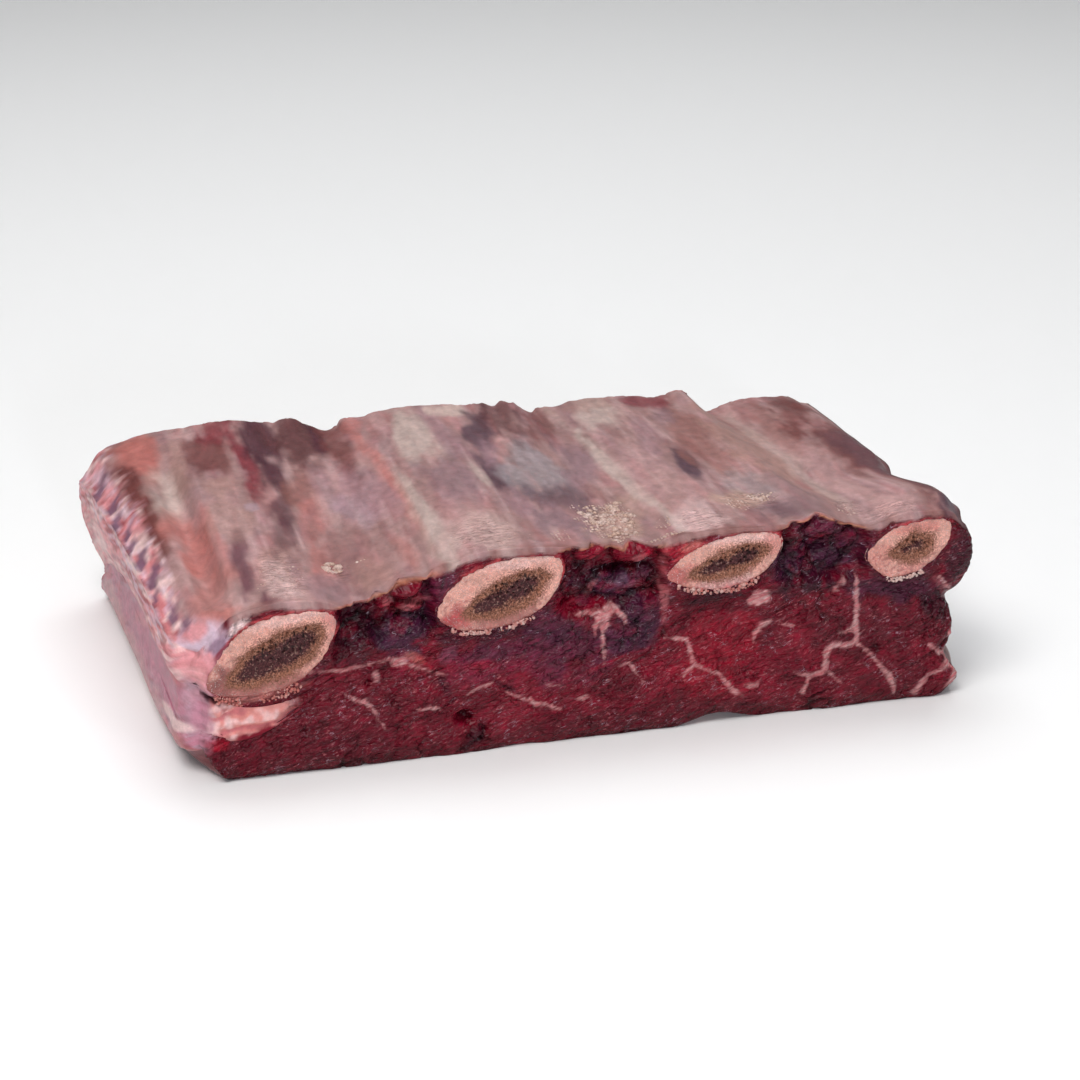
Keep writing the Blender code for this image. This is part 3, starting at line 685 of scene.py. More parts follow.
# Where the cut face is dark and lumpy: place, half width and half height
LUMPY_PLACES = (
    (118, 35.5, 28, 10), (62, 44, 12, 9), (47, 45, 8, 9), (129, 51, 15, 7), (195, 52, 16, 10),
    (226, 39.5, 19, 5.5), (240, 34, 9, 9), (161, 43.5, 16, 3.5), (73, 57, 7, 5))

# Membrane: patches with their place across and along the ribs. The night line at 57 across near the back
# is a painted shadow of the step there
TOP_PATCHES = (
    ("opal", 0.95, -3, 3.5, 6, 9, 20), ("petal", 0.9, -3.5, 8, 2.4, 5, 20),
    ("salmon", 0.6, 6.5, 4, 4, 4), ("salmon", 0.6, 2, 9, 1.8, 5, 20),
    ("coral", 0.85, 3.5, 144, 3.5, 26), ("bark", 1, -1, 100, 2.6, 44, 2),
    ("cream", 0.8, 5.8, 112, 3.6, 22, -3), ("clay", 0.8, 6, 66, 3.6, 26), ("tan", 0.6, 9.5, 128, 2, 42),
    ("clay", 0.5, 5.5, 22, 5.5, 24), ("clay", 0.5, 11.5, 56, 2.2, 38, 2),
    ("purple", 0.75, 16.5, 30, 2.6, 28, -6), ("purple", 0.8, 21, 8, 3.2, 9, -20),
    ("tan", 0.6, 27, 26, 6.5, 24, -4), ("milk", 0.35, 26.5, 16, 5, 14), ("blush", 0.5, 34, 14, 5, 12),
    ("tan", 0.5, 19.5, 68, 6.5, 16), ("tan", 0.65, 18.5, 101, 6, 8), ("bark", 0.85, 20, 132, 8, 20),
    ("blood", 0.8, 26, 158, 7.5, 14), ("blood", 0.9, 31, 124, 3.2, 34),
    ("night", 0.9, 39.5, 148, 6, 32, -4), ("night", 0.85, 37.5, 112, 3.6, 18, -6),
    ("night", 0.75, 36, 78, 4, 17, -8), ("night", 0.55, 31.5, 54, 4, 15, -8),
    ("lavender", 0.5, 26, 79, 3, 3.4), ("rust", 0.75, 44.5, 100, 5, 18, -8),
    ("clay", 0.4, 45.5, 72, 4.4, 20, -10), ("clay", 0.5, 41.5, 34, 3.6, 16, -10),
    ("dusk", 0.6, 39.5, 12, 6, 10), ("bark", 0.45, 51.5, 36, 7, 30), ("mauve", 0.5, 53, 102, 4, 17, 6),
    ("lavender", 0.4, 58.5, 74, 4, 15, 10), ("mauve", 0.6, 64, 88, 6.5, 26, 3),
    ("maroon", 0.9, 52, 146, 8.5, 25), ("night", 0.9, 57, 149, 2.2, 18, -2),
    ("bark", 0.75, 63, 140, 5, 30), ("coral", 0.4, 65, 30, 3, 22, 3), ("tan", 0.55, 56, 16, 5.5, 14),
    ("clay", 0.6, 71.5, 112, 2.4, 56, 2), ("cream", 0.8, 76, 48, 3, 56, 2),
    ("coral", 0.3, 72.5, 70, 1.4, 40, 2), ("cream", 0.85, 85.5, 132, 7, 30, 2),
    ("mauve", 0.6, 96.5, 122, 4, 44, 2), ("dusk", 0.75, 89, 72, 8, 24), ("blush", 0.5, 88, 26, 9, 26),
    ("ivory", 0.35, 90, 20, 8, 18), ("ivory", 0.95, 103, 157, 6, 10),
    ("slate", 0.9, 109, 130, 5, 30, -12), ("slate", 0.85, 105, 78, 4.4, 17, -6),
    ("cream", 0.7, 98.2, 80, 1.6, 20, 3), ("smoke", 0.75, 121, 86, 10, 32, -6),
    ("mauve", 0.6, 108, 106, 3.6, 13, -8), ("slate", 0.7, 124, 50, 13, 16, 22),
    ("mauve", 0.6, 106, 46, 4.5, 14), ("dusk", 0.85, 118, 28, 9, 18),
    ("maroon", 0.7, 122, 146, 9, 24, -6), ("bark", 0.6, 136, 142, 6, 28, -6),
    ("dusk", 0.85, 137, 88, 7, 26, -4), ("gold", 0.55, 136, 26, 8, 24, -14),
    ("rust", 0.4, 137, 60, 3, 14), ("cream", 0.8, 149.2, 68, 2.6, 70, 2),
    ("cream", 0.75, 160, 142, 8.5, 20, -6), ("tan", 0.5, 158, 160, 12, 9),
    ("blush", 0.45, 160, 56, 8, 54), ("milk", 0.45, 160, 14, 9, 14),
    ("slate", 0.95, 174.5, 76, 3.8, 24, -8), ("mauve", 0.5, 170, 108, 4, 26, -6),
    ("rust", 0.7, 186, 106, 9, 40, -6), ("blood", 0.75, 182, 158, 7, 12),
    ("dusk", 0.6, 182.5, 136, 4, 11, -10), ("smoke", 0.45, 189, 46, 8, 14),
    ("slate", 0.5, 188, 17, 9, 13, 10), ("gold", 0.6, 180, 32, 9, 9, 20),
    ("tan", 0.75, 203, 96, 8.5, 70, -2), ("cream", 0.4, 211, 88, 2.8, 64),
    ("blush", 0.45, 219, 58, 5, 46, 2), ("rust", 0.5, 221, 130, 5, 34, -4),
    ("dusk", 0.5, 199, 30, 6, 24), ("bark", 0.85, 238, 82, 11, 66), ("slate", 0.5, 240, 66, 8, 44, 4),
    ("bark", 0.75, 231, 140, 7, 28, -6), ("blush", 0.7, 222, 12, 10, 12),
    ("slate", 0.85, 244, 10, 5, 16))
# Left side: patches with their place along the ribs and height
LEFT_PATCHES = (
    ("milk", 0.55, 138, 31, 22, 5, -24), ("milk", 0.7, 30, 43.5, 28, 1.8, -3),
    ("lilac", 0.9, 24, 37, 12, 2.4, -10), ("dust", 0.85, 44, 35.5, 22, 2, -24),
    ("rose", 0.8, 25, 29, 18, 1.6, -4), ("lilac", 0.85, 70, 21, 64, 7, -4),
    ("lavender", 0.5, 3, 26, 6, 10), ("petal", 0.4, 76, 25, 14, 2, -14),
    ("cherry", 0.7, 6, 8, 10, 4, 10), ("milk", 0.9, 18, 15.5, 14, 1.4, -4),
    ("petal", 0.5, 110, 46, 30, 5, -10), ("lilac", 0.4, 66, 55, 24, 2.5, -30),
    ("blush", 0.5, 90, 8, 90, 6), ("milk", 0.6, 60, 1, 90, 2), ("lilac", 0.6, 0, 22, 5, 6),
    ("petal", 0.7, 0, 38, 6, 6))
# Right side, which the picture hardly shows
RIGHT_PATCHES = (
    ("plum", 0.7, 20, 48, 16, 9), ("slate", 0.7, 90, 44, 60, 8), ("wine", 0.7, 60, 18, 50, 9),
    ("cream", 0.6, 24, 8, 16, 2.4, 10), ("rose", 0.5, 96, 28, 40, 1.6, 4),
    ("lavender", 0.4, 130, 16, 24, 3, -6), ("cream", 0.5, 140, 5, 30, 3),
    ("crimson", 0.5, 120, 30, 30, 5))
# Underside, which the picture doesn't show
UNDER_PATCHES = (
    ("cream", 0.7, 40, 60, 34, 22, 20), ("silverskin", 0.75, 130, 96, 60, 34, -10),
    ("wine", 0.7, 196, 40, 40, 30, 10), ("cream", 0.6, 208, 128, 26, 16, -30),
    ("rose", 0.6, 84, 140, 44, 16, 8), ("wine", 0.5, 90, 34, 26, 18))
# Front edge of the membrane, cut end of the fat wedge, and rings of the sawn bones
LIP_PATCHES = (
    ("clay", 0.8, 47, 54.5, 4.5, 2), ("clay", 0.8, 115.5, 62.5, 3.5, 1.6), ("clay", 0.6, 134, 63, 8, 2),
    ("clay", 0.6, 191, 65.5, 8, 1.6), ("bark", 0.6, 205, 63, 6, 2), ("coral", 0.5, 72, 60, 6, 2))
WEDGE_PATCHES = (
    ("milk", 0.7, -5, 19, 4, 6, 30), ("milk", 0.6, 4, 21, 1.6, 5, 20),
    ("salmon", 0.7, 12, 23, 7, 1.6, 24), ("rose", 0.6, 0, 26, 6, 2), ("lavender", 0.5, -6, 24, 4, 6),
    # The plum patch at the top left is painted shade in the crevice under the first bone
    ("crimson", 0.3, 8, 15.6, 10, 1, 10), ("plum", 0.9, -3, 28.2, 5, 1.4, -8),
    ("dust", 0.8, 12, 26.6, 12, 1.3, 6), ("salmon", 0.5, 17, 19.6, 8, 1.4, 26))
# The dark crevice under the tip of the first bone: plum painted shade in it, and bone dust beside it
CREVICE_PATCHES = (("plum", 0.95, -2.6, 27.7, 5.4, 1.3, -14), ("dust", 0.7, 9, 27.2, 9, 1.2, 4))
BONE_PATCHES = (
    ("coral", 0.7, 77, 46, 8, 5, 30), ("cherry", 0.9, 75, 45, 5.5, 4.5, 30),
    ("coral", 0.6, 150, 52, 7, 5, 30), ("cherry", 0.5, 147.5, 52, 4, 4, 30),
    ("rose", 0.85, 168, 47.6, 16, 1.8), ("rose", 0.4, 39, 50, 3, 5), ("coral", 0.4, 215, 50, 5, 6),
    ("bark", 0.9, 4, 33, 8, 5, 30), ("dust", 0.8, 12, 31.5, 12, 4, 18),
    ("dust", 0.7, 25, 31.5, 12, 2.6, 18), ("dust", 0.7, 92, 43.5, 14, 2.4, 10),
    ("rose", 0.3, 228, 46, 8, 2), ("milk", 0.3, 24, 52, 14, 1.6, 6),
    ("milk", 0.3, 98, 62.4, 12, 1.8, 4), ("milk", 0.35, 170, 62.6, 10, 1.6),
    ("coral", 0.6, 230, 60.4, 9, 2.5), ("clay", 0.6, 180, 60, 3, 4),
    ("ivory", 0.5, 164, 49, 10, 1.6, 4))
# Pale cords in the membrane: points with the width there
STRIP_LINES = (
    ((75, -1, 3), (75, 30, 3.5), (76, 55, 3), (76.5, 80, 4), (75, 95, 1)),
    ((151, 10, 2), (149, 35, 3), (148, 60, 3), (147, 90, 3), (148, 120, 3), (149, 138, 1)),
    ((212, 12, 1.5), (210, 60, 2.5), (211, 110, 2.5), (210, 150, 1)),
    ((11, 8, 1), (11.5, 40, 2), (11, 80, 1.5), (9.5, 120, 2), (9, 160, 1)),
    ((96.5, 98, 0.8), (97.5, 75, 1.4), (99, 60, 0.6)))
# Dark slits across the left border: place along, place across, half length, half width
SLITS = (
    (138, 1.8, 13, 1.9), (116, 2.2, 6, 1.4), (103, 1, 6, 1.5), (91, 2.4, 6.5, 1.3), (80, 1.2, 5, 1.5),
    (68, 2.2, 6, 1.7), (52, 2.8, 7.5, 1.9), (40, 1.2, 5, 1.2), (26, 4, 8, 1.8), (15, 5, 5.5, 1.8))
# Rough places on the membrane: place across and along, half sizes
CRUMBLY_PLACES = (
    (27, 22, 9, 24), (45, 28, 5, 10), (90, 18, 12, 20), (133, 24, 11, 26), (161, 12, 10, 14),
    (182, 30, 11, 12), (222, 8, 12, 10), (210, 20, 6, 12))
# Crumbs on the membrane: place across and along, half sizes, how many, smallest and largest
CRUMB_PLACES = (
    (132, 24, 8, 22, 260, 0.25, 1.6), (138, 36, 5, 12, 110, 0.25, 1.6),
    (44, 30.5, 2.6, 4.5, 40, 0.3, 2.2), (53.3, 32, 1.2, 1.2, 6, 0.3, 0.9),
    (30.5, 27.5, 1.2, 1.6, 6, 0.25, 0.6), (187, 33, 5, 4.5, 60, 0.25, 1.2),
    (176, 26, 4, 6, 50, 0.22, 0.8), (114, 13, 3, 6, 40, 0.2, 0.6), (149, 16, 3, 6, 30, 0.2, 0.6),
    (209, 17, 3, 6, 26, 0.2, 0.6), (90, 16, 14, 16, 60, 0.15, 0.4), (26, 18, 8, 16, 60, 0.15, 0.4),
    (126, 28, 4, 20, 60, 0.2, 0.7), (186, 33, 3, 2.4, 12, 0.9, 2.2), (146, 4, 8, 2, 60, 0.2, 0.8),
    (131, 30, 4, 6, 20, 0.8, 1.8))


def fat_gap(s, z):
    """Distance to the nearest pale fat in the cut face, below 0 in it."""
    gaps = [line_gap(s, z, line) for line in FAT_LINES]
    for spot in FAT_SPOTS:
        gaps.append((spot_reach(s, z, *spot) - 1.0) * min(spot[2:4]))
    return np.minimum.reduce(gaps)


def to_metres(points):
    """From the drawing frame to metres about the middle of the footprint."""
    return (points - np.array((*FOOTPRINT_CENTRE, 0.0))) * MM


def smooth_outline(corners, count):
    """Evenly spaced points on the smooth closed curve through an outline's corners."""
    corners = np.array(corners, float)
    position = np.arange(FINE_OUTLINE) * len(corners) / FINE_OUTLINE
    first = position.astype(int)
    part = (position - first)[:, None]
    before, start, end, after = (corners[(first + step) % len(corners)] for step in (-1, 0, 1, 2))
    fine = 0.5 * (2.0 * start + (end - before) * part
                  + (2.0 * before - 5.0 * start + 4.0 * end - after) * part ** 2
                  + (3.0 * start - before - 3.0 * end + after) * part ** 3)
    closed = np.vstack((fine, fine[:1]))
    length = np.concatenate(([0.0], np.cumsum(np.hypot(*np.diff(closed, axis=0).T))))
    even = np.linspace(0.0, length[-1], count, endpoint=False)
    return np.stack([np.interp(even, length, closed[:, axis]) for axis in (0, 1)], axis=-1)


def outline_gap(s, z, outline):
    """Distance to a closed outline, below 0 inside it."""
    best = np.full(s.shape, FAR)
    inside = np.zeros(s.shape, bool)
    for start, end in zip(outline, np.roll(outline, -1, axis=0)):
        best = np.minimum(best, segment_gap(s, z, start, end)[0])
        run_s, run_z = end - start
        crosses = (start[1] > z) != (end[1] > z)
        height = np.where(crosses, (z - start[1]) / (run_z if run_z else 1.0), 0.0)
        inside ^= crosses & (s < start[0] + height * run_s)
    return np.where(inside, -best, best)


def bone_gap(x, y, z):
    """Distance to the nearest rib bone, below 0 inside it, and how high above its middle."""
    best = np.full(x.shape, FAR)
    above = np.zeros(x.shape)
    for corners in BONE_OUTLINES:
        outline = smooth_outline(corners, BONE_GAP_SIDES)
        middle_s, middle_z = outline.mean(axis=0)
        local_s = x - across(middle_s, y) + middle_s
        local_z = z - lift(middle_s, y)
        near = (np.abs(local_s - middle_s) < BONE_NEAR) & (np.abs(local_z - middle_z) < BONE_NEAR)
        gap = outline_gap(local_s[near], local_z[near], outline)
        closer = gap < best[near]
        best[near] = np.where(closer, gap, best[near])
        above[near] = np.where(closer, local_z[near] - middle_z, above[near])
    return best, above


def lattice_faces(counts, top_merge, bottom_merge):
    """The faces round a block of points, by side, as rows of point numbers that run outwards."""
    last = [count - 1 for count in counts]

    def number(i, j, k):
        """The number of a point in the block."""
        return (i * counts[1] + j) * counts[2] + k

    def quads(first, second, point):
        """The faces of an upright side."""
        a, b = np.meshgrid(np.arange(first - 1), np.arange(second - 1), indexing="ij")
        corners = (point(a, b), point(a + 1, b), point(a + 1, b + 1), point(a, b + 1))
        return [np.stack(corners, axis=-1).reshape(-1, 4)]

    def merged(row, widest):
        """How many columns make one face at this row: one at the cut faces, more behind them."""
        return min(widest, 2 ** max(0, min(row, last[1] - row) - 1))

    def lid(k, widest, turned):
        """The faces of the top or bottom, wider away from the cut faces."""
        made = []
        for row in range(last[1]):
            near, far = merged(row, widest), merged(row + 1, widest)
            wide = max(near, far)
            left = np.arange(0, last[0], wide)
            loop = [number(left, row, k), number(left + wide, row, k),
                    number(left + wide, row + 1, k), number(left, row + 1, k)]
            if near < far:
                loop.insert(1, number(left + near, row, k))
            elif far < near:
                loop.insert(3, number(left + far, row + 1, k))
            faces = np.stack(loop, axis=-1)
            made.append(faces[:, ::-1] if turned else faces)
        return made

    return {
        "front": quads(counts[0], counts[2], lambda a, b: number(a, 0, b)),
        "back": quads(counts[2], counts[0], lambda a, b: number(b, last[1], a)),
        "right": quads(counts[1], counts[2], lambda a, b: number(last[0], a, b)),
        "left": quads(counts[2], counts[1], lambda a, b: number(0, b, a)),
        "top": lid(last[2], top_merge, False),
        "bottom": lid(0, bottom_merge, True),
    }


class Slab:
    """The points of a layer's outer faces, with where each lies in the layer."""

    def __init__(self, right_edge, columns, levels, depth_step, merges, layout):
        steps = (np.linspace(LEFT_EDGE, right_edge, columns + 1), depth_lines(depth_step),
                 np.linspace(0.0, 1.0, levels + 1))
        counts = [len(values) for values in steps]
        sides = lattice_faces(counts, *merges)
        used = np.unique(np.concatenate([faces.ravel() for side in sides.values() for faces in side]))
        index = np.unravel_index(used, counts)
        self.s, self.y, self.share = (values[i] for values, i in zip(steps, index))
        self.at_front, self.at_back = index[1] == 0, index[1] == counts[1] - 1
        self.at_left, self.at_right = index[0] == 0, index[0] == counts[0] - 1
        self.at_top, self.at_bottom = index[2] == counts[2] - 1, index[2] == 0
        self.on_cut = self.at_front | self.at_back
        renumber = np.zeros(np.prod(counts), np.int64)
        renumber[used] = np.arange(len(used))
        self.faces = []
        self.uv = []
        for side, parts in sides.items():
            left, low, right, high = layout[side]
            for faces in parts:
                corners = np.unravel_index(faces.ravel(), counts)
                u, v = (self.run_share(steps[axis], corners[axis]) for axis in SIDE_AXES[side])
                self.uv.append(np.stack((left + (right - left) * u, low + (high - low) * v), axis=-1))
                self.faces.append(renumber[faces])

    @staticmethod
    def run_share(values, picked):
        """How far along a row of places the picked ones lie, from 0 to 1."""
        return (values[picked] - values[0]) / (values[-1] - values[0])


def depth_lines(widest):
    """Places along the ribs, close together at the cut faces and evenly spaced between them."""
    near = [0.0]
    step = FIRST_DEPTH_STEP
    while step < widest:
        near.append(near[-1] + step)
        step *= DEPTH_STEP_GROWTH
    inner = BLOCK_DEPTH - 2.0 * near[-1]
    between = np.linspace(near[-1], near[-1] + inner, int(round(inner / widest)) + 1)
    return np.concatenate((near[:-1], between, BLOCK_DEPTH - np.array(near[-2::-1])))


def make_mesh(name, points, faces, uv=None):
    """A closed mesh from points in the drawing frame and arrays of faces."""
    mesh = bpy.data.meshes.new(name)
    sizes = np.concatenate([np.full(len(rows), rows.shape[1]) for rows in faces])
    loops = np.concatenate([rows.ravel() for rows in faces])
    mesh.vertices.add(len(points))
    mesh.vertices.foreach_set("co", to_metres(points).astype(np.float32).ravel())
    mesh.loops.add(len(loops))
    mesh.loops.foreach_set("vertex_index", loops.astype(np.int32))
    mesh.polygons.add(len(sizes))
    mesh.polygons.foreach_set("loop_start", (np.cumsum(sizes) - sizes).astype(np.int32))
    mesh.update(calc_edges=True)
    mesh.shade_smooth()
    if uv is not None:
        layer = mesh.uv_layers.new(name="OFBake")
        layer.uv.foreach_set("vector", np.concatenate(uv).astype(np.float32).ravel())
    piece = bpy.data.objects.new(name, mesh)
    bpy.context.scene.collection.objects.link(piece)
    return piece


def mesh_places(piece):
    """The places of a mesh's points, in metres, and the directions that they face."""
    count = len(piece.data.vertices)
    places = np.empty(count * 3, np.float32)
    facing = np.empty(count * 3, np.float32)
    piece.data.vertices.foreach_get("co", places)
    piece.data.vertex_normals.foreach_get("vector", facing)
    return places.reshape(-1, 3), facing.reshape(-1, 3)


def raise_surface(piece, heights):
    """Moves each point outwards by its height in millimetres, and none below the ground."""
    places, facing = mesh_places(piece)
    places = places + facing * (heights * MM)[:, None]
    places[:, 2] = np.maximum(places[:, 2], 0.0)
    piece.data.vertices.foreach_set("co", places.astype(np.float32).ravel())
    piece.data.update()


def store(piece, **fields):
    """Keeps a number or a vector for each point, for the material to read."""
    for name, values in fields.items():
        kind = "FLOAT_VECTOR" if values.ndim == 2 else "FLOAT"
        attribute = piece.data.attributes.new(name, kind, "POINT")
        attribute.data.foreach_set("vector" if values.ndim == 2 else "value",
                                   values.astype(np.float32).ravel())


def finish_piece(piece, look, slot, *nodes):
    """Gives a piece its material, and puts it in the place of the solids that it stands for."""
    piece.data.materials.append(look)
    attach(piece, "root")
    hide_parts(*nodes)


def tilted(s, z):
    """Places on a cut face, turned so that the first runs along the fibres."""
    angle = math.radians(FIBRE_TILT)
    return np.stack((s * math.cos(angle) + z * math.sin(angle),
                     z * math.cos(angle) - s * math.sin(angle)), axis=-1)


def plane(first, second):
    """Places on a plane from their two measures."""
    return np.stack((first, second), axis=-1)


def gap_share(s):
    """1 in the middle between two bones on a cut face, 0 at the bones."""
    share = np.zeros(s.shape)
    for gap_left, gap_right in BONE_GAPS:
        rise = smooth_between(s, gap_left - GAP_EDGE, gap_left + GAP_EDGE)
        fall = smooth_between(s, gap_right - GAP_EDGE, gap_right + GAP_EDGE)
        share = np.maximum(share, rise * (1.0 - fall))
    return share


def bundles(s, z, seed):
    """The bundles of fibres in a cut face: 1 in their creases, how far they bulge, and a number each."""
    uneven = plane(rough(plane(s, z), 4.0, seed), rough(plane(s, z), 3.0, seed + 1))
    places = tilted(s, z) + BUNDLE_UNEVEN * uneven
    nearest, following, number = grains(places / BUNDLE_SIZE, 1.0, seed + 2)
    crease = 1.0 - smooth_between(following - nearest, 0.0, 0.22)
    return crease * smooth_between(number, 0.15, 0.6), 1.0 - np.minimum(nearest, 1.0) ** 2, number


def bundle_relief(s, z, seed, crease_depth, bulge_height, start):
    """How far the bundles of fibres lie back."""
    crease, bulge, _ = bundles(s, z, seed)
    return crease_depth * crease - bulge_height * bulge + start


def lumpy(s, z):
    """Where the cut face is made of small dark lumps, between and under the bones."""
    return in_spots(s, z, LUMPY_PLACES, 0.6, 1.1)


def cracks(s, z, seed):
    """1 in the long cracks between the muscles of the cut face, 0 beside them."""
    level = np.abs(rough(tilted(s, z), CRACK_SIZE, seed + 3, octaves=2))
    here = smooth_between(lumps(plane(s, z), 9.0, seed + 4), 0.0, 0.4)
    return here * (1.0 - smooth_between(level, 0.02, 0.09))


def lobes(s, z, seed):
    """How far the lobes of meat between the bones stand out, and 1 in the creases round them."""
    wobble = rough(plane(s, z), 5.0, seed)
    height = np.zeros(s.shape)
    crease = np.zeros(s.shape)
    for middle_s, middle_z, half_s, half_z, stand in LOBES:
        reach = spot_reach(s + wobble, z + wobble, middle_s, middle_z, half_s, half_z) + 0.25 * wobble
        height = np.maximum(height, stand * np.sqrt(np.clip(1.0 - reach ** 2, 0.0, 1.0)))
        crease = np.maximum(crease * smooth_between(reach, 0.5, 0.9), hump(reach, 1.0, 0.3))
    return height, crease


def pit_depth(s, z):
    """How deep the pits in the front cut face are."""
    depth = np.zeros(s.shape)
    for *spot, deepest in PITS:
        depth += deepest * (1.0 - smooth(spot_reach(s, z, *spot)))
    return depth


def rib_face_relief(s, z, height_share, seed):
    """How far the cut face of the rib layer lies back, between and round the bones."""
    below_top = along(FRONT_TOP, s) - z
    above_seam = z - along(FRONT_SEAM, s)
    wobble = rough(plane(s, z), 5.0, seed)
    between = gap_share(s)
    lip = smooth_between(below_top, LIP_THICKNESS, 0.2 * LIP_THICKNESS)
    hollow = between * HOLLOW_DEPTH * (1.0 - lip) * smooth_between(above_seam, 0.0, HOLLOW_RISE)
    meat = hollow - lobes(s, z, seed)[0] * (1.0 - LOBES_UNDER_LIP * lip)
    arches = np.zeros(s.shape)
    for middle, half_width, depth in LIP_ARCHES:
        arches += depth * hump(s + wobble, middle, half_width)
    relief = gap_relief(s, height_share) + meat + arches * lip
    ridges = lumps(plane(s, 1.3 * z), 7.0, seed + 1) + 0.35 * lumps(plane(s, z), 3.0, seed + 2)
    folds = FOLD_DEPTH * (1.0 - np.abs(ridges)) ** 4
    relief += (folds + bundle_relief(s, z, seed, *RIB_BUNDLES)) * (0.1 + 0.9 * between)
    near_top = np.clip(1.0 - below_top / EDGE_ROUND, 0.0, 1.0)
    relief += (1.0 - 0.6 * between) * EDGE_ROUND * (1.0 - np.sqrt(1.0 - near_top ** 2))
    joined = lean_relief(s, 1.0) - 2.0 * JOINT_STEP
    return joined + (relief - joined) * smooth_between(above_seam, 0.5, SEAM_BLEND) + pit_depth(s, z)


def lean_face_relief(s, z, height_share, seed):
    """How far the cut face of the lean lies back, with its pits."""
    relief = lean_relief(s, height_share)
    relief += lumpy(s, z) * bundle_relief(s, z, seed, *LEAN_BUNDLES) + CRACK_DEPTH * cracks(s, z, seed)
    relief += 0.6 * lumps(plane(s, z), 12.0, seed) + 0.3 * rough(tilted(s, z), (6.0, 3.0), seed + 1)
    joined = lean_relief(s, 1.0)
    return joined + (relief - joined) * smooth(10.0 * (1.0 - height_share)) + pit_depth(s, z)


def place_slab(slab, low, high, sides, lean_out, face_relief):
    """Puts the points of a layer where they lie in the rack, in the drawing frame."""
    s, y, share = slab.s, slab.y, slab.share
    z = low(s, y) + (high(s, y) - low(s, y)) * share
    x = across(s, y) + side_shift(s, y, share, *sides, lean_out)
    face_z = low(s, 0.0) + (high(s, 0.0) - low(s, 0.0)) * share
    depth = y.copy()
    for seed, behind, direction in ((FRONT_SEED, y, 1.0), (BACK_SEED, BLOCK_DEPTH - y, -1.0)):
        face_share = fade(behind, FACE_FADE)
        near = face_share > 0.0
        relief = face_relief(s[near], face_z[near], share[near], seed) + end_relief(s[near])
        gap, _ = bone_gap(x[near], y[near], z[near])
        relief = np.maximum(relief, 0.0) * smooth_between(gap, -0.5, 2.0)
        relief += BONE_RECESS * smooth_between(-gap, 0.5, 1.6)
        depth[near] += direction * relief * face_share[near]
    return np.stack((x, depth, z), axis=-1), face_z


def cut_face_tint(s, z, x, y, true_z, seed):
    """The colours of a cut face: lean, darker meat between the bones, a red line over them, and painted
    shade under the bones and in creases, pits and cracks.
    """
    wide = rough(plane(s, z), 9.0, seed + 5)
    wobble = rough(plane(s, z), 5.0, seed + 6)
    fine = rough(plane(s, z), 2.2, seed + 7)
    patchy = rough(plane(s, z), 4.5, seed + 8)
    tint = laid(plain_tint("lean", len(s)), "crimson", 0.6 * smooth_between(wide, -0.2, 0.9))
    tint = laid(tint, "wine", 0.6 * smooth_between(-wide, -0.1, 0.9))
    tint = painted(tint, FACE_PATCHES, s, z, wobble)
    gap, above = bone_gap(x, y, true_z)
    # Painted shade: plum along the lower edges of the bones, right of the fat wedge
    under = smooth_between(-above, 0.0, 4.0) * (1.0 - smooth_between(gap + fine, 0.8, 3.4))
    tint = laid(tint, "plum", 0.6 * under * smooth_between(s, *UNDER_BONES_FROM))
    between = gap_share(s) * smooth_between(true_z, *GAP_HEIGHTS)
    tint = laid(tint, "crimson", 0.4 * between * smooth_between(patchy, 0.2, 0.7))
    over = smooth_between(above, 0.0, 4.0) * (1.0 - smooth_between(gap + 0.3 * fine, 0.2, 0.9))
    tint = laid(tint, "cherry", over * smooth_between(patchy, -0.6, 0.4))
    crease, _, number = bundles(s, z, seed)
    # Painted shade in the creases between bundles, in cracks and pits, round the lobes and towards the
    # bottom; each lumpy bundle also gets its own random tone
    shade = lumpy(s, z) * (0.3 * (number - 0.5) - 0.7 * crease)
    shade -= 0.5 * cracks(s, z, seed) * (1.0 - between)
    shade -= PIT_SHADE * pit_depth(s, z) + LOW_SHADE * (1.0 - smooth_between(z, 0.0, LOW_SHADE_HEIGHT))
    shade -= LOBE_CREASE_SHADE * lobes(s, z, seed)[1] * between
    return tint * np.maximum(1.0 + shade, DARKEST_SHADE)[:, None]


def skin_tint(first, second, patches, base, layers, seed, spread, slant=0.0):
    """The colours of a side with a skin: a base with soft streaks in layers, and patches over it."""
    run = plane(first, second + slant * first)
    tint = plain_tint(base, len(first))
    for step, (colour, strength, length, width) in enumerate(layers):
        streaks = rough(run, (length, width), seed + 11 * step)
        tint = laid(tint, colour, strength * smooth_between(streaks, -0.1, 0.6))
    drift = rough(run, np.multiply(spread, 1.6), seed + 5, octaves=2)
    tint = painted(tint, patches, first + 1.5 * drift, second, rough(run, spread, seed + 9), 0.42)
    return tint * (1.0 + 0.1 * rough(run, np.multiply(spread, 0.4), seed + 6))[:, None]


def down_border(s, y, z):
    """How far in from the membrane's left edge, below 0 down the left side."""
    on_side = s <= LEFT_EDGE + EDGE_SLACK
    return np.where(on_side, z - top(s, y), s - LEFT_EDGE)


def slit_share(s, y, z):
    """1 in the dark slits across the left border of the membrane, 0 beside them."""
    down = down_border(s, y, z)
    wobble = 0.35 * rough(plane(down, y), (1.5, 4.0), 37)
    slits = [(at_down, at_y, *halves, SLIT_TURN) for at_y, at_down, *halves in SLITS]
    return in_spots(down, y, slits, 0.5, 1.1, wobble)


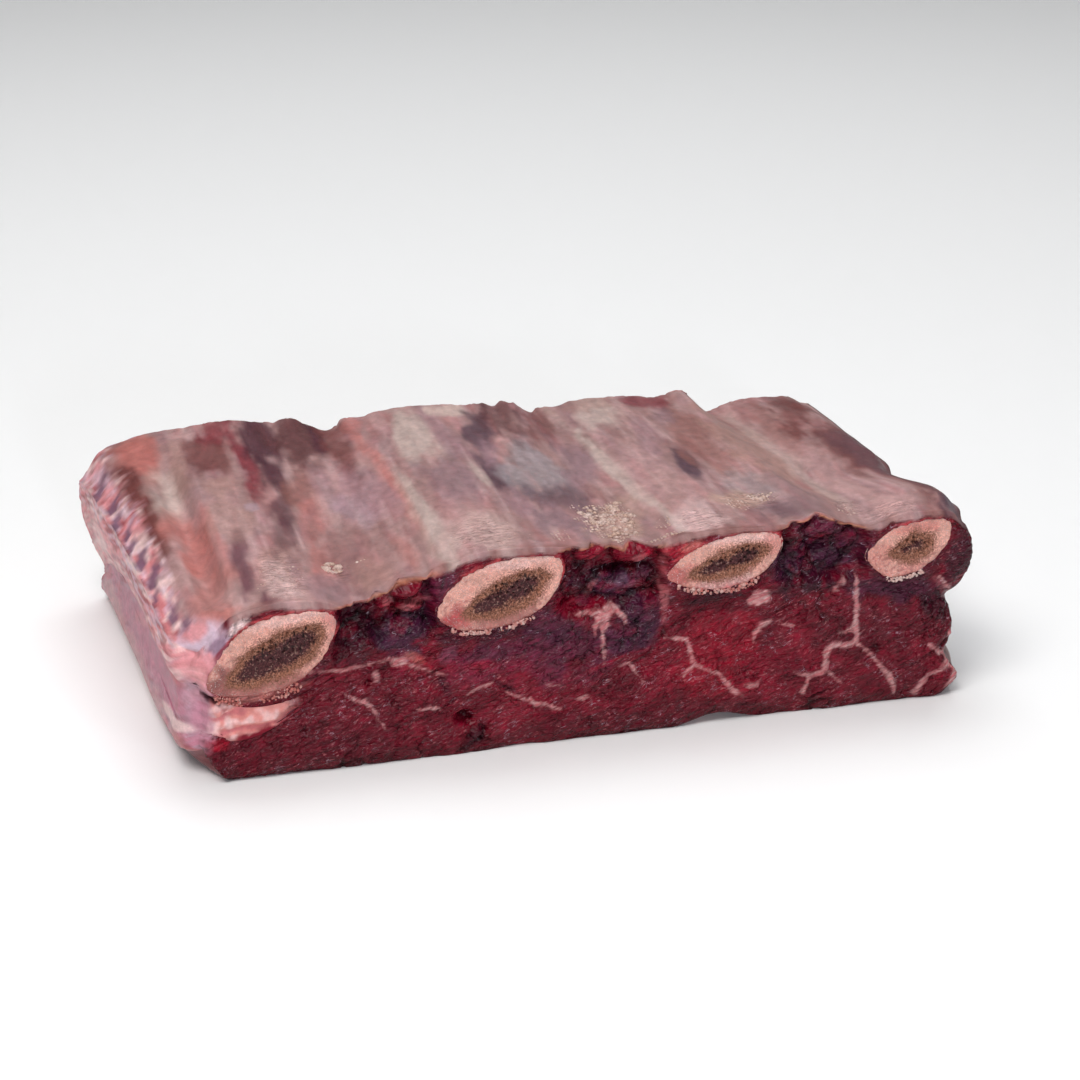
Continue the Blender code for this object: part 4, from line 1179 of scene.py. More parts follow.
def border_tint(s, y, z):
    """The left border of the membrane: pink and white streaks, with dark slits between them."""
    down = down_border(s, y, z)
    tint = skin_tint(y, down, (), "petal", BORDER_LAYERS, 33, SIDE_SPREAD, BORDER_SLANT)
    return laid(tint, "iris", 0.9 * slit_share(s, y, z))


def streak_height(points, seed):
    """Soft ridges along the ribs."""
    return (0.45 * rough(points, (9.0, 30.0, 9.0), seed)
            + 0.12 * rough(points, (3.0, 16.0, 3.0), seed + 1, octaves=2))


def crumbly(s, y):
    """Where the membrane is rough and crumbly: near the front cut face, on the ribs."""
    return in_spots(s, y, CRUMBLY_PLACES, 0.5, 1.1)


def cream_strip_height(s, y):
    """The pale cords of the membrane stand out a little."""
    gap = np.minimum.reduce([line_gap(s, y, line) for line in STRIP_LINES])
    return STRIP_HEIGHT * (1.0 - smooth_between(gap, -1.5, 1.5))


def membrane_tint(s, y, wobble):
    """The membrane on top of the ribs, darkened with rust along its front edge: partly the edge's own
    colour, partly a painted shadow line.
    """
    tint = MEMBRANE_SHADE * skin_tint(s, y, TOP_PATCHES, "pleura", TOP_LAYERS, 23, TOP_SPREAD)
    edge_rust_and_shade = 1.0 - smooth_between(y + 1.2 * wobble, 0.5, 4.5)
    uneven = smooth_between(rough(plane(s, y), (9.0, 3.0), 77), -0.5, 0.6)
    return laid(tint, "rust", 0.6 * edge_rust_and_shade * uneven * smooth_between(s, 8.0, 16.0))


def rib_skin_tints(s, y, z, wobble):
    """The top, left and right of the rib layer, with the streaky border over the left edge."""
    behind_corner = smooth_between(y, *CORNER_DEPTHS)
    border = border_tint(s, y, z)
    on_border = smooth_between(LEFT_BORDER + 1.5 * wobble - (s - LEFT_EDGE), -1.5, 1.5)
    top_tint = mixed_in(membrane_tint(s, y, wobble), border, on_border * behind_corner)
    left_tint = skin_tint(y, z, LEFT_PATCHES, "petal", LEFT_LAYERS, 29, SIDE_SPREAD, LEFT_SLANT)
    high_up = smooth_between(z - top(s, y), -BORDER_DROP - 2.0, -BORDER_DROP + 2.0)
    left_tint = mixed_in(left_tint, border, high_up * behind_corner)
    right_tint = skin_tint(y, z, RIGHT_PATCHES, "maroon", RIGHT_LAYERS, 31, SIDE_SPREAD)
    return top_tint, left_tint, right_tint


def both_cut_tints(slab, pattern_s, face_z, points):
    """The colours of the front cut face, and at the back those of the back one."""
    x, _, z = points.T
    front = cut_face_tint(slab.s, face_z, x, np.zeros(len(x)), z, FRONT_SEED)
    back = cut_face_tint(pattern_s, face_z, x, slab.y, z, BACK_SEED)
    return np.where(slab.at_front[:, None], front, back)


def rib_slab():
    """The rib layer: membrane on top, bands at the sides, and the cut meat between the bones."""
    slab = Slab(RIGHT_EDGE, COLUMNS, RIB_LEVELS, TOP_DEPTH_STEP, RIB_MERGES, RIB_LAYOUT)
    points, face_z = place_slab(slab, lambda s, y: seam(s, y) - OVERLAP, top,
                                (LEFT_BAND_SIDE, RIGHT_BAND_SIDE), LEFT_BAND_LEAN, rib_face_relief)
    piece = make_mesh("rib_layer_meat", points, slab.faces, slab.uv)
    s, y, z = slab.s, slab.y, points[:, 2]
    grain = np.stack((s, y, z), axis=-1)
    skin_heights = (streak_height(grain, 11) + cream_strip_height(s, y)
                    + crumbly(s, y) * CRUMBLY_HEIGHT * rough(plane(s, y), 1.6, 17)
                    - SLIT_DEPTH * slit_share(s, y, z))
    cut_heights = 0.25 * rough(tilted(s, z), (2.5, 1.2), 19) * smooth(8.0 * slab.share)
    raise_surface(piece, np.where(slab.on_cut, cut_heights, skin_heights) * (1.0 - 0.5 * slab.at_bottom))
    wobble = rough(plane(s, y), 4.0, 71)
    lip_edge = LIP_THICKNESS * np.clip(0.4 + 0.3 * wobble + 0.4 * (1.0 - gap_share(s)), 0.2, 1.2)
    below_top = top(s, y) - z
    lip = 1.0 - smooth_between(below_top, 0.5 * lip_edge, lip_edge)
    corner = 1.0 - smooth_between(s - CORNER_SLANT * (face_z - CORNER_HEIGHT), *CORNER_ENDS)
    top_tint, left_tint, right_tint = rib_skin_tints(s, y, z, wobble)
    side_tint = np.where(slab.at_right[:, None], right_tint, top_tint)
    side_tint = np.where(slab.at_left[:, None], left_tint, side_tint)
    lip_tint = painted(LIP_SHADE * top_tint, LIP_PATCHES, s, face_z, wobble)
    low_lip = smooth_between(below_top, 0.1 * lip_edge, 0.6 * lip_edge)
    lip_tint = laid(lip_tint, "amber", 0.8 * low_lip * gap_share(s))
    cut_tint = both_cut_tints(slab, s, face_z, points)
    cut_tint = mixed_in(cut_tint, lip_tint, lip * (1.0 - corner))
    wrapped = 1.0 - smooth_between(s + wobble, *CORNER_WRAP)
    wrapped *= smooth_between(face_z, *RIB_WRAP_HEIGHTS)
    cut_tint = mixed_in(cut_tint, left_tint, wrapped)
    cut_tint = painted(cut_tint, CREVICE_PATCHES, s, face_z, wobble)
    lumpy_share = np.maximum(lumpy(s, face_z), gap_share(s))
    store(piece, grain=grain, tint=np.where(slab.on_cut[:, None], cut_tint, side_tint),
          skin=np.where(slab.on_cut, np.maximum(lip, corner), 1.0), dry=crumbly(s, y),
          fat_mm=np.where(slab.on_cut, fat_gap(s, face_z), FAR),
          lumpy=np.where(slab.on_cut, lumpy_share, 0.0))
    finish_piece(piece, raw_meat("rib meat and membrane"), "rib_meat", "rib_layer")
    return piece, slab


def mirrored_s(s):
    """The same place counted from the other side."""
    return LEFT_EDGE + RIGHT_EDGE - s


def low_left_tint(y, z):
    """The left side below the membrane."""
    return skin_tint(y, z, LEFT_PATCHES, "lilac", LOW_LAYERS, 53, SIDE_SPREAD, LEFT_SLANT)


def lean_slab():
    """The lean under the ribs."""
    slab = Slab(RIGHT_EDGE, COLUMNS, LEAN_LEVELS, SIDE_DEPTH_STEP, LEAN_MERGES, LEAN_LAYOUT)
    points, face_z = place_slab(slab, bottom, lambda s, y: lean_top(s, y) + OVERLAP,
                                (LEFT_LEAN_SIDE, RIGHT_LEAN_SIDE), 0.0, lean_face_relief)
    piece = make_mesh("lean_meat", points, slab.faces, slab.uv)
    s, y, z = slab.s, slab.y, points[:, 2]
    grain = np.stack((s, y, z), axis=-1)
    pattern_s = np.where(slab.at_back, mirrored_s(s), s)
    cut_heights = (0.30 * rough(tilted(pattern_s, z), (5.0, 1.5), 41)
                   + 0.14 * rough(tilted(pattern_s, z), (1.8, 0.8), 43, octaves=2))
    cut_heights = cut_heights * smooth(10.0 * (1.0 - slab.share))
    heights = np.where(slab.on_cut, cut_heights, 0.6 * streak_height(grain, 47))
    raise_surface(piece, heights * np.where(slab.at_bottom, 0.3, 1.0))
    right_side = skin_tint(y, z, RIGHT_PATCHES, "maroon", RIGHT_LAYERS, 59, SIDE_SPREAD)
    side = np.where(slab.at_right[:, None], right_side, low_left_tint(y, z))
    under = skin_tint(s, y, UNDER_PATCHES, "maroon", TOP_LAYERS, 61, TOP_SPREAD)
    side = np.where(slab.at_bottom[:, None], under, side)
    corner_wobble = 1.5 * rough(plane(s, z), 3.0, 75)
    wrapped = 1.0 - smooth_between(s + corner_wobble, *CORNER_WRAP)
    wrapped *= smooth_between(face_z, *LEAN_WRAP_HEIGHTS)
    cut_tint = mixed_in(both_cut_tints(slab, pattern_s, face_z, points), side, wrapped)
    store(piece, grain=grain, tint=np.where(slab.on_cut[:, None], cut_tint, side),
          skin=np.where(slab.on_cut, LEAN_SKIN * wrapped, LEAN_SKIN),
          fat_mm=np.where(slab.on_cut, fat_gap(pattern_s, face_z), FAR),
          lumpy=np.where(slab.on_cut, lumpy(pattern_s, face_z), 0.0))
    finish_piece(piece, raw_meat("raw lean beef"), "lean", "lean_muscle")


def wedge_folds(s, z, seed):
    """Folds in the cut end of the fat wedge: 1 in the creases, -1 between them."""
    return np.sin((z - 0.22 * s) / WEDGE_FOLD_LENGTH + 2.2 * rough(plane(0.5 * s, z), 5.0, seed))


def wedge_relief(s, z, height_share, seed):
    """How far the cut end of the fat wedge lies back."""
    folds = WEDGE_FOLD * wedge_folds(s, z, seed) + 0.4 * rough(plane(s, z), 3.0, seed + 1)
    folds = folds * smooth(2.5 * (1.0 - height_share)) * smooth(5.0 * height_share)
    return lean_relief(s, 1.0) - JOINT_STEP + folds + pit_depth(s, z)


def fat_wedge():
    """The wedge of fat under the first rib, which thins to a sheet towards the back."""
    slab = Slab(WEDGE_RIGHT, WEDGE_COLUMNS, WEDGE_LEVELS, SIDE_DEPTH_STEP, WEDGE_MERGES, WEDGE_LAYOUT)
    points, face_z = place_slab(slab, lambda s, y: seam(s, y) - wedge_thickness(s, y) - OVERLAP,
                                lambda s, y: seam(s, y) + OVERLAP,
                                (LEFT_WEDGE_SIDE, RIGHT_WEDGE_SIDE), 0.0, wedge_relief)
    piece = make_mesh("fat_wedge_soft", points, slab.faces, slab.uv)
    s, y, z = slab.s, slab.y, points[:, 2]
    grain = np.stack((s, y, z), axis=-1)
    middle = smooth(5.0 * slab.share) * smooth(5.0 * (1.0 - slab.share))
    cut_heights = 0.2 * middle * rough(plane(s, z), 2.0, 67)
    raise_surface(piece, np.where(slab.on_cut, cut_heights, 0.5 * streak_height(grain, 69)))
    wobble = rough(plane(s, z), 3.0, 73)
    tint = painted(plain_tint("fat", len(s)), WEDGE_PATCHES, s, face_z, wobble)
    folds = wedge_folds(s, z, FRONT_SEED)
    # Painted shade and highlights: rose darkens the creases of the folds, milk lightens the ridges between
    # them
    tint = laid(tint, "rose", 0.85 * smooth_between(folds, 0.1, 0.9))
    tint = laid(tint, "milk", 0.6 * smooth_between(-folds, 0.3, 1.0) * smooth_between(wobble, -0.6, 0.6))
    to_lean = smooth_between(s + 3.0 * wobble, *WEDGE_ENDS)
    side = low_left_tint(y, z)
    wrapped = 1.0 - smooth_between(s + wobble, *CORNER_WRAP)
    tint = mixed_in(laid(tint, "lean", to_lean), side, wrapped)
    low_edge = 1.0 - smooth_between(slab.share + 0.1 * wobble, 0.02, 0.22)
    tint = laid(tint, "crimson", low_edge * smooth_between(s, 0.0, 10.0))
    tint = painted(tint, CREVICE_PATCHES, s, face_z, wobble)
    store(piece, grain=grain, tint=np.where(slab.on_cut[:, None], tint, side),
          skin=np.where(slab.on_cut, 1.0 - to_lean, 1.0), fat_mm=np.full(len(s), FAR))
    finish_piece(piece, raw_meat("soft fat"), "fat", "fat_wedge")


def pores(s, z, seed):
    """How deep the pores of a bone's spongy core are at each place, from 0 to 1."""
    depth = np.zeros(s.shape)
    for size, share, widest in CORE_PORES:
        nearest, _, number = grains(plane(s, z), size, seed)
        depth = np.maximum(depth, (number < share) * (1.0 - smooth_between(nearest, 0.5 * widest, widest)))
        seed += 7
    return depth


def core_reach(rim_angle, core_rim, centre):
    """How far the edge of the core lies from its centre at each angle of the rim."""
    away = core_rim - centre
    angle = np.arctan2(away[:, 1], away[:, 0])
    order = np.argsort(angle)
    return np.interp(rim_angle, angle[order], np.hypot(*away.T)[order], period=2.0 * math.pi)


def tube_faces(count):
    """The faces of a tube of loops, closed by a fan round one more point at each end."""
    loops = np.arange(count * BONE_SECTORS).reshape(count, BONE_SECTORS)
    following = np.roll(loops, -1, axis=1)
    quads = np.stack((loops[:-1], following[:-1], following[1:], loops[1:]), axis=-1).reshape(-1, 4)
    front_tip = np.full(BONE_SECTORS, loops.size)
    front_fan = np.stack((front_tip, following[0], loops[0]), axis=-1)
    back_fan = np.stack((front_tip + 1, loops[-1], following[-1]), axis=-1)
    return [quads, front_fan, back_fan]


def sawn_relief(s, z, core_mm, edge_mm, porous, number):
    """How far the sawn end of a bone lies back: sunk core, pores, rounded rim and saw marks."""
    sunk = CORE_SUNK * smooth_between(-core_mm, -0.6, 0.8)
    openness = smooth_between(-core_mm, 0.2, 1.2) * (0.25 + 0.75 * porous)
    sunk += PORE_DEPTH * pores(s, z, 90 + number) * openness
    sunk += RIM_ROUND * fade(edge_mm, RIM_ROUND_WIDTH)
    sunk += 0.12 * rough(plane(s, z), 2.2, 95 + number)
    return sunk + 0.10 * rough(plane(s, z), 0.8, 97 + number, octaves=2)


def rib_bone(number, outline, core_outline):
    """A rib bone: pale ring, spongy core sunk in it, and the same at the back cut face."""
    rim = smooth_outline(outline, BONE_SECTORS)
    middle_s = rim[:, 0].mean()
    core_rim = smooth_outline(core_outline, BONE_SECTORS)
    centre = core_rim.mean(axis=0)
    away = rim - centre
    reach = np.hypot(*away.T)
    angle = np.arctan2(away[:, 1], away[:, 0])
    core_share = core_reach(angle, core_rim, centre) / reach
    inner = np.linspace(0.0, 1.0, CORE_LOOPS + 1)[1:, None] * core_share
    ring = core_share + np.linspace(0.0, 1.0, RING_LOOPS + 1)[1:, None] * (1.0 - core_share)
    disc = np.vstack((inner, ring))
    shares = np.vstack((disc, np.ones((len(BONE_ROWS), BONE_SECTORS)), disc[::-1]))
    depths = np.concatenate((np.zeros(len(disc)), BONE_ROWS, np.full(len(disc), BLOCK_DEPTH)))[:, None]
    depths = depths + np.zeros(shares.shape)
    round_rim = plane(np.cos(angle) * 3.0, np.sin(angle) * 3.0) + depths[..., None] * 0.05
    growth = BONE_WOBBLE * rough(round_rim, 1.0, 80 + number)
    local = centre + away * (shares * (1.0 + growth / reach))[..., None]
    s, z = local[..., 0], local[..., 1]
    place = np.arange(len(shares))[:, None]
    at_front = place < len(disc)
    at_back = place >= len(disc) + len(BONE_ROWS)
    core_mm = (shares - core_share) * reach
    edge_mm = (1.0 - shares) * reach
    pattern_s = s + np.where(at_back, BACK_PATTERN_SHIFT, 0.0)
    porous = smooth_between(z - centre[1] + 0.6 * lumps(plane(s, z), 3.0, 85), -3.0, 1.5)
    sunk = sawn_relief(pattern_s, z, core_mm, edge_mm, porous, number)
    y = depths + np.where(at_front, sunk, 0.0) - np.where(at_back, sunk, 0.0)
    points = np.stack((s + across(middle_s, y) - middle_s, y, z + lift(middle_s, y)), axis=-1)
    tips = np.stack((points[0].mean(axis=0), points[-1].mean(axis=0)))
    piece = make_mesh(f"rib_bone_{number}_sawn", np.vstack((points.reshape(-1, 3), tips)),
                      tube_faces(len(shares)))
    flat_s, flat_y, flat_z, core_mm, edge_mm, porous = (
        np.append(values.ravel(), values.ravel()[[0, -1]])
        for values in (pattern_s, y, z, core_mm, edge_mm, porous))
    wobble = rough(plane(flat_s, flat_z), 3.0, 101 + number)
    tint = painted(plain_tint("ring", len(flat_s)), BONE_PATCHES, flat_s, flat_z, wobble)
    store(piece, grain=np.stack((flat_s, flat_y, flat_z), axis=-1), tint=tint,
          core_mm=core_mm + 0.7 * wobble, edge_mm=edge_mm, porous=porous)
    finish_piece(piece, sawn_bone(f"sawn bone {number}"), "bone",
                 f"rib_bone_{number}", f"rib_marrow_{number}")


def ball_shape():
    """The points and faces of a small round lump."""
    ball = bpy.data.meshes.new("ball")
    builder = bmesh.new()
    bmesh.ops.create_icosphere(builder, subdivisions=1, radius=1.0)
    builder.to_mesh(ball)
    builder.free()
    shape = np.array([vertex.co for vertex in ball.vertices])
    faces = np.array([face.vertices[:] for face in ball.polygons])
    bpy.data.meshes.remove(ball)
    return shape, faces


def lumps_mesh(name, places, sizes, facing, shades, seed):
    """Many small uneven lumps in one mesh, each flattened along its direction, with its shade."""
    shape, faces = ball_shape()
    draw = np.random.default_rng(seed)
    count = len(places)
    turn = draw.uniform(0.0, 2.0 * math.pi, count)[:, None]
    helper = np.where(np.abs(facing[:, 2:]) > 0.9, (1.0, 0.0, 0.0), (0.0, 0.0, 1.0))
    first = np.cross(helper, facing)
    first /= np.linalg.norm(first, axis=1)[:, None]
    second = np.cross(facing, first)
    along_first = first * np.cos(turn) + second * np.sin(turn)
    directions = (along_first, np.cross(facing, along_first), facing)
    uneven = 1.0 + draw.uniform(-LUMP_UNEVEN, LUMP_UNEVEN, (count, len(shape), 1))
    local = shape[None] * uneven * sizes[:, None, :]
    points = places[:, None] + np.zeros(local.shape)
    for axis, direction in enumerate(directions):
        points += local[..., axis, None] * direction[:, None]
    offsets = np.arange(count)[:, None, None] * len(shape)
    piece = make_mesh(name, points.reshape(-1, 3), [(faces[None] + offsets).reshape(-1, 3)])
    store(piece, grain=points.reshape(-1, 3), number=np.repeat(shades, len(shape)))
    return piece


def bone_beads():
    """Beads of fat and bone dust along the lower edges of the sawn bones, at both cut faces."""
    draw = np.random.default_rng(BEAD_SEED)
    places, sizes, facing, shades = [], [], [], []
    for outline, shade, reach in zip(BONE_OUTLINES, BEAD_SHADES, BEAD_REACHES):
        rim = smooth_outline(outline, FINE_OUTLINE)
        middle_s = rim[:, 0].mean()
        run = np.roll(rim, -1, axis=0) - rim
        clusters = rough(rim, 6.0, BEAD_SEED) > BEAD_CLUSTERS
        low = np.flatnonzero((run[:, 0] < -BEAD_EDGE_SLOPE * np.abs(run[:, 1])) & clusters)
        for y, side in ((0.0, -1.0), (BLOCK_DEPTH, 1.0)):
            for pick in draw.choice(low, int(len(low) * BEADS_PER_POINT)):
                outwards = np.array((-run[pick][1], run[pick][0])) / np.hypot(*run[pick])
                size = draw.uniform(*BEAD_SIZES) * draw.uniform(0.6, 1.0)
                s, z = rim[pick] + outwards * draw.uniform(-0.5, reach)
                depth = y + side * draw.uniform(-0.8, 0.5)
                shades.append(shade + draw.uniform(-0.4, 0.4))
                places.append((s + across(middle_s, y) - middle_s, depth, z + lift(middle_s, y)))
                sizes.append((size, size * draw.uniform(0.7, 1.0), size * draw.uniform(0.7, 1.0)))
                facing.append((0.0, side, 0.0))
    places, sizes, facing, shades = (np.array(values) for values in (places, sizes, facing, shades))
    piece = lumps_mesh("bone_beads", places, sizes, facing, shades, BEAD_SEED)
    finish_piece(piece, crumb_look("beads of fat", "coral", "ivory"), "fat", "rib_layer")


def membrane_crumbs(layer, slab):
    """Crumbs and flakes that lie on the membrane, in the patches where the photo shows them."""
    draw = np.random.default_rng(CRUMB_SEED)
    spots = []
    for middle_s, middle_y, half_s, half_y, count, small, large in CRUMB_PLACES:
        for _ in range(count):
            radius, angle = math.sqrt(draw.uniform()), draw.uniform(0.0, 2.0 * math.pi)
            s = middle_s + half_s * radius * math.cos(angle)
            y = middle_y + half_y * radius * math.sin(angle)
            spots.append((s, y, small + (large - small) * draw.uniform() ** 3))
    places, facing = mesh_places(layer)
    tree = KDTree(int(slab.at_top.sum()))
    for i in np.flatnonzero(slab.at_top):
        tree.insert((slab.s[i], slab.y[i], 0.0), int(i))
    tree.balance()
    nearest = np.array([tree.find((s, y, 0.0))[1] for s, y, size in spots])
    middle = places[nearest] / MM + np.array((*FOOTPRINT_CENTRE, 0.0))
    size = np.array(spots)[:, 2]
    width = size * draw.uniform(0.6, 1.0, len(size))
    height = size * draw.uniform(0.3, 0.6, len(size))
    shades = draw.uniform(0.0, 1.0, len(size))
    piece = lumps_mesh("membrane_crumbs", middle, np.stack((size, width, height), axis=-1),
                       facing[nearest], shades, CRUMB_SEED + 1)
    finish_piece(piece, crumb_look("dry crumbs", "gold", "ivory"), "bone", "rib_layer")


class Nodes:
    """Adds and joins the nodes of one material."""

    def __init__(self, name):
        self.material = bpy.data.materials.new(name)
        self.material.use_nodes = True
        self.tree = self.material.node_tree
        self.shader = self.tree.nodes["Principled BSDF"]

    def feed(self, socket, value):
        """Joins another node's output to a socket, or sets a constant on it."""
        if isinstance(value, bpy.types.NodeSocket):
            self.tree.links.new(value, socket)
        else:
            socket.default_value = value

    def add(self, kind, inputs, **settings):
        """A new node with its settings and inputs."""
        node = self.tree.nodes.new(kind)
        for name, value in settings.items():
            setattr(node, name, value)
        for key, value in inputs.items():
            self.feed(node.inputs[key], value)
        return node

    def attribute(self, name, output="Fac"):
        """A field that is stored on the mesh."""
        return self.add("ShaderNodeAttribute", {}, attribute_name=name).outputs[output]

    def stretched(self, place, scale):
        """The places scaled along each axis."""
        return self.add("ShaderNodeVectorMath", {0: place, 1: scale}, operation="MULTIPLY").outputs[0]

    def turned(self, place, turn):
        """The places turned about the middle."""
        return self.add("ShaderNodeVectorRotate", {"Vector": place, "Rotation": turn},
                        rotation_type="EULER_XYZ").outputs["Vector"]

    def warped(self, place, scale, amount):
        """The places moved about by up to this amount, in swirls of this scale."""
        inputs = {"Vector": place, "Scale": scale, "Detail": 2.0}
        swirl = self.add("ShaderNodeTexNoise", inputs).outputs["Color"]
        return self.add("ShaderNodeVectorMath", {0: swirl, 1: (amount, amount, amount), 2: place},
                        operation="MULTIPLY_ADD").outputs[0]

    def noise(self, place, scale, detail, rough_share):
        """Noise from 0 to 1 with its own scale along each axis."""
        inputs = {"Vector": self.stretched(place, scale), "Scale": 1.0, "Detail": detail,
                  "Roughness": rough_share}
        return self.add("ShaderNodeTexNoise", inputs).outputs["Fac"]

    def noises(self, place, table):
        """The noises of a table, by name."""
        return {name: self.noise(place, *values) for name, values in table.items()}

    def contours(self, noise, width):
        """Thin winding lines, where a noise passes its middle value."""
        gap = self.math("ABSOLUTE", self.math("SUBTRACT", noise, 0.5))
        return self.ranged(gap, width, 0.0)

    def ranged(self, value, start, end, low=0.0, high=1.0):
        """Eases from low to high as the value goes from the start to the end."""
        inputs = {"Value": value, "From Min": start, "From Max": end, "To Min": low, "To Max": high}
        return self.add("ShaderNodeMapRange", inputs, interpolation_type="SMOOTHSTEP").outputs["Result"]

    def math(self, operation, *values):
        """One step of arithmetic."""
        return self.add("ShaderNodeMath", dict(enumerate(values)), operation=operation).outputs[0]

    def product(self, *values):
        """The values multiplied together."""
        return functools.reduce(functools.partial(self.math, "MULTIPLY"), values)

    def total(self, *values):
        """The values added together."""
        return functools.reduce(functools.partial(self.math, "ADD"), values)

    def swung(self, value, noise, amount):
        """The value moved up and down with a noise."""
        return self.total(value, self.product(self.math("SUBTRACT", noise, 0.5), amount))

    def scaled(self, colour, factor):
        """A colour made darker or lighter."""
        return self.add("ShaderNodeVectorMath", {0: colour, "Scale": factor}, operation="SCALE").outputs[0]

    def mixed(self, share, first, second):
        """Between two colours by a share."""
        node = self.add("ShaderNodeMix", {0: share, 6: first, 7: second}, data_type="RGBA")
        return node.outputs[2]

    def mixed_value(self, share, first, second):
        """Between two numbers by a share."""
        return self.add("ShaderNodeMix", {0: share, 2: first, 3: second}, data_type="FLOAT").outputs[0]

    def finish(self, colour, roughness, height, bump_mm, **constants):
        """Joins everything to the shader."""
        bump = self.add("ShaderNodeBump", {"Height": height, "Distance": bump_mm * MM, "Strength": 1.0})
        self.feed(self.shader.inputs["Normal"], bump.outputs["Normal"])
        self.feed(self.shader.inputs["Base Color"], colour)
        self.feed(self.shader.inputs["Roughness"], roughness)
        for name, value in constants.items():
            self.shader.inputs[name.replace("_", " ")].default_value = value
        return self.material


def opaque(colour):
    """A named colour with full cover, as a colour socket takes it."""
    return (*COLOURS[colour], 1.0)


def cut_colour(nodes, noise, tint, creases, calm):
    """The cut face: mottled fibres with pink specks, silvery threads, painted shade in the creases and
    small painted glints.
    """
    cut = nodes.scaled(tint, nodes.ranged(noise["mottle"], 0.35, 0.65, 0.78, 1.22))
    cut = nodes.scaled(cut, nodes.ranged(noise["fibres"], 0.36, 0.64, 0.74, 1.26))
    # Painted shade: darker in the creases
    cut = nodes.scaled(cut, nodes.ranged(creases, 0.0, 1.0, 1.0, 0.6))
    specks = nodes.product(nodes.ranged(noise["specks"], 0.57, 0.72, 0.0, 0.55),
                           nodes.ranged(noise["patches"], 0.4, 0.6, 0.25), calm)
    cut = nodes.mixed(specks, cut, opaque("rose"))
    threads = nodes.product(nodes.contours(noise["threads"], 0.02),
                            nodes.ranged(noise["breaks"], 0.54, 0.64, 0.0, 0.45),
                            nodes.ranged(noise["patches"], 0.42, 0.58), calm)
    cut = nodes.mixed(threads, cut, opaque("silverskin"))
    # Painted glints: short opal dashes stand in for wet highlights
    glints = nodes.product(nodes.contours(noise["dashes"], 0.016),
                           nodes.ranged(noise["breaks"], 0.5, 0.6, 0.0, 0.5),
                           nodes.ranged(noise["patches"], 0.46, 0.6))
    return nodes.mixed(glints, cut, opaque("opal"))


def film_colour(nodes, noise, tint, scratches, dry):
    """The skin: a thin mottled film, scratched and brownish where it is dry."""
    film = nodes.scaled(tint, nodes.ranged(noise["mottle"], 0.3, 0.7, 0.86, 1.14))
    scratched = nodes.ranged(scratches, 0.36, 0.62, 0.7, 1.22)
    film = nodes.scaled(film, nodes.mixed_value(dry, 1.0, scratched))
    flecks = nodes.product(dry, nodes.ranged(noise["specks"], 0.55, 0.68, 0.0, 0.5))
    return nodes.mixed(flecks, film, opaque("bark"))


def raw_meat(name):
    """Raw meat: wet fibres and pale fat where it is cut, and films and streaks in its skin."""
    nodes = Nodes(name)
    grain = nodes.attribute("grain", "Vector")
    tint = nodes.attribute("tint", "Color")
    skin, dry, fat_mm, lumpy_share = (
        nodes.attribute(field) for field in ("skin", "dry", "fat_mm", "lumpy"))
    swirled = nodes.warped(grain, SWIRL_SCALE, SWIRL_REACH)
    fibre_places = nodes.turned(swirled, (0.0, math.radians(FIBRE_TILT), 0.0))
    noise = nodes.noises(fibre_places, FIBRE_NOISES) | nodes.noises(grain, SPOT_NOISES)
    scratches = nodes.noise(swirled, *SCRATCH_NOISE)
    creases = nodes.product(nodes.contours(noise["creases"], 0.02),
                            nodes.ranged(noise["patches"], 0.56, 0.44))
    calm = nodes.math("SUBTRACT", 1.0, nodes.product(lumpy_share, 0.85))
    cut = cut_colour(nodes, noise, tint, creases, calm)
    fat_share = nodes.product(nodes.ranged(nodes.swung(fat_mm, noise["wet"], 2.4), 0.65, -0.8),
                              nodes.ranged(noise["specks"], 0.3, 0.6, 0.6, 0.92))
    fat_colour = nodes.mixed(nodes.ranged(noise["fibres"], 0.35, 0.65), opaque("rose"), opaque("blush"))
    cut = nodes.mixed(fat_share, cut, fat_colour)
    colour = nodes.mixed(skin, cut, film_colour(nodes, noise, tint, scratches, dry))
    roughness = nodes.mixed_value(skin, nodes.ranged(noise["mottle"], 0.35, 0.65, 0.22, 0.1),
                                  nodes.ranged(noise["mottle"], 0.3, 0.7, 0.38, 0.52))
    cut_height = nodes.total(nodes.product(noise["wet"], 1.8), nodes.product(noise["fibres"], 0.12),
                             nodes.product(noise["mottle"], 0.25))
    cut_height = nodes.math("SUBTRACT", cut_height, nodes.product(creases, 0.4))
    film_height = nodes.total(nodes.product(noise["mottle"], 0.3),
                              nodes.product(scratches, nodes.product(dry, 0.3)))
    return nodes.finish(colour, roughness, nodes.mixed_value(skin, cut_height, film_height), 1.0,
                        Specular_IOR_Level=0.18, Subsurface_Weight=0.05, Subsurface_Scale=0.003)


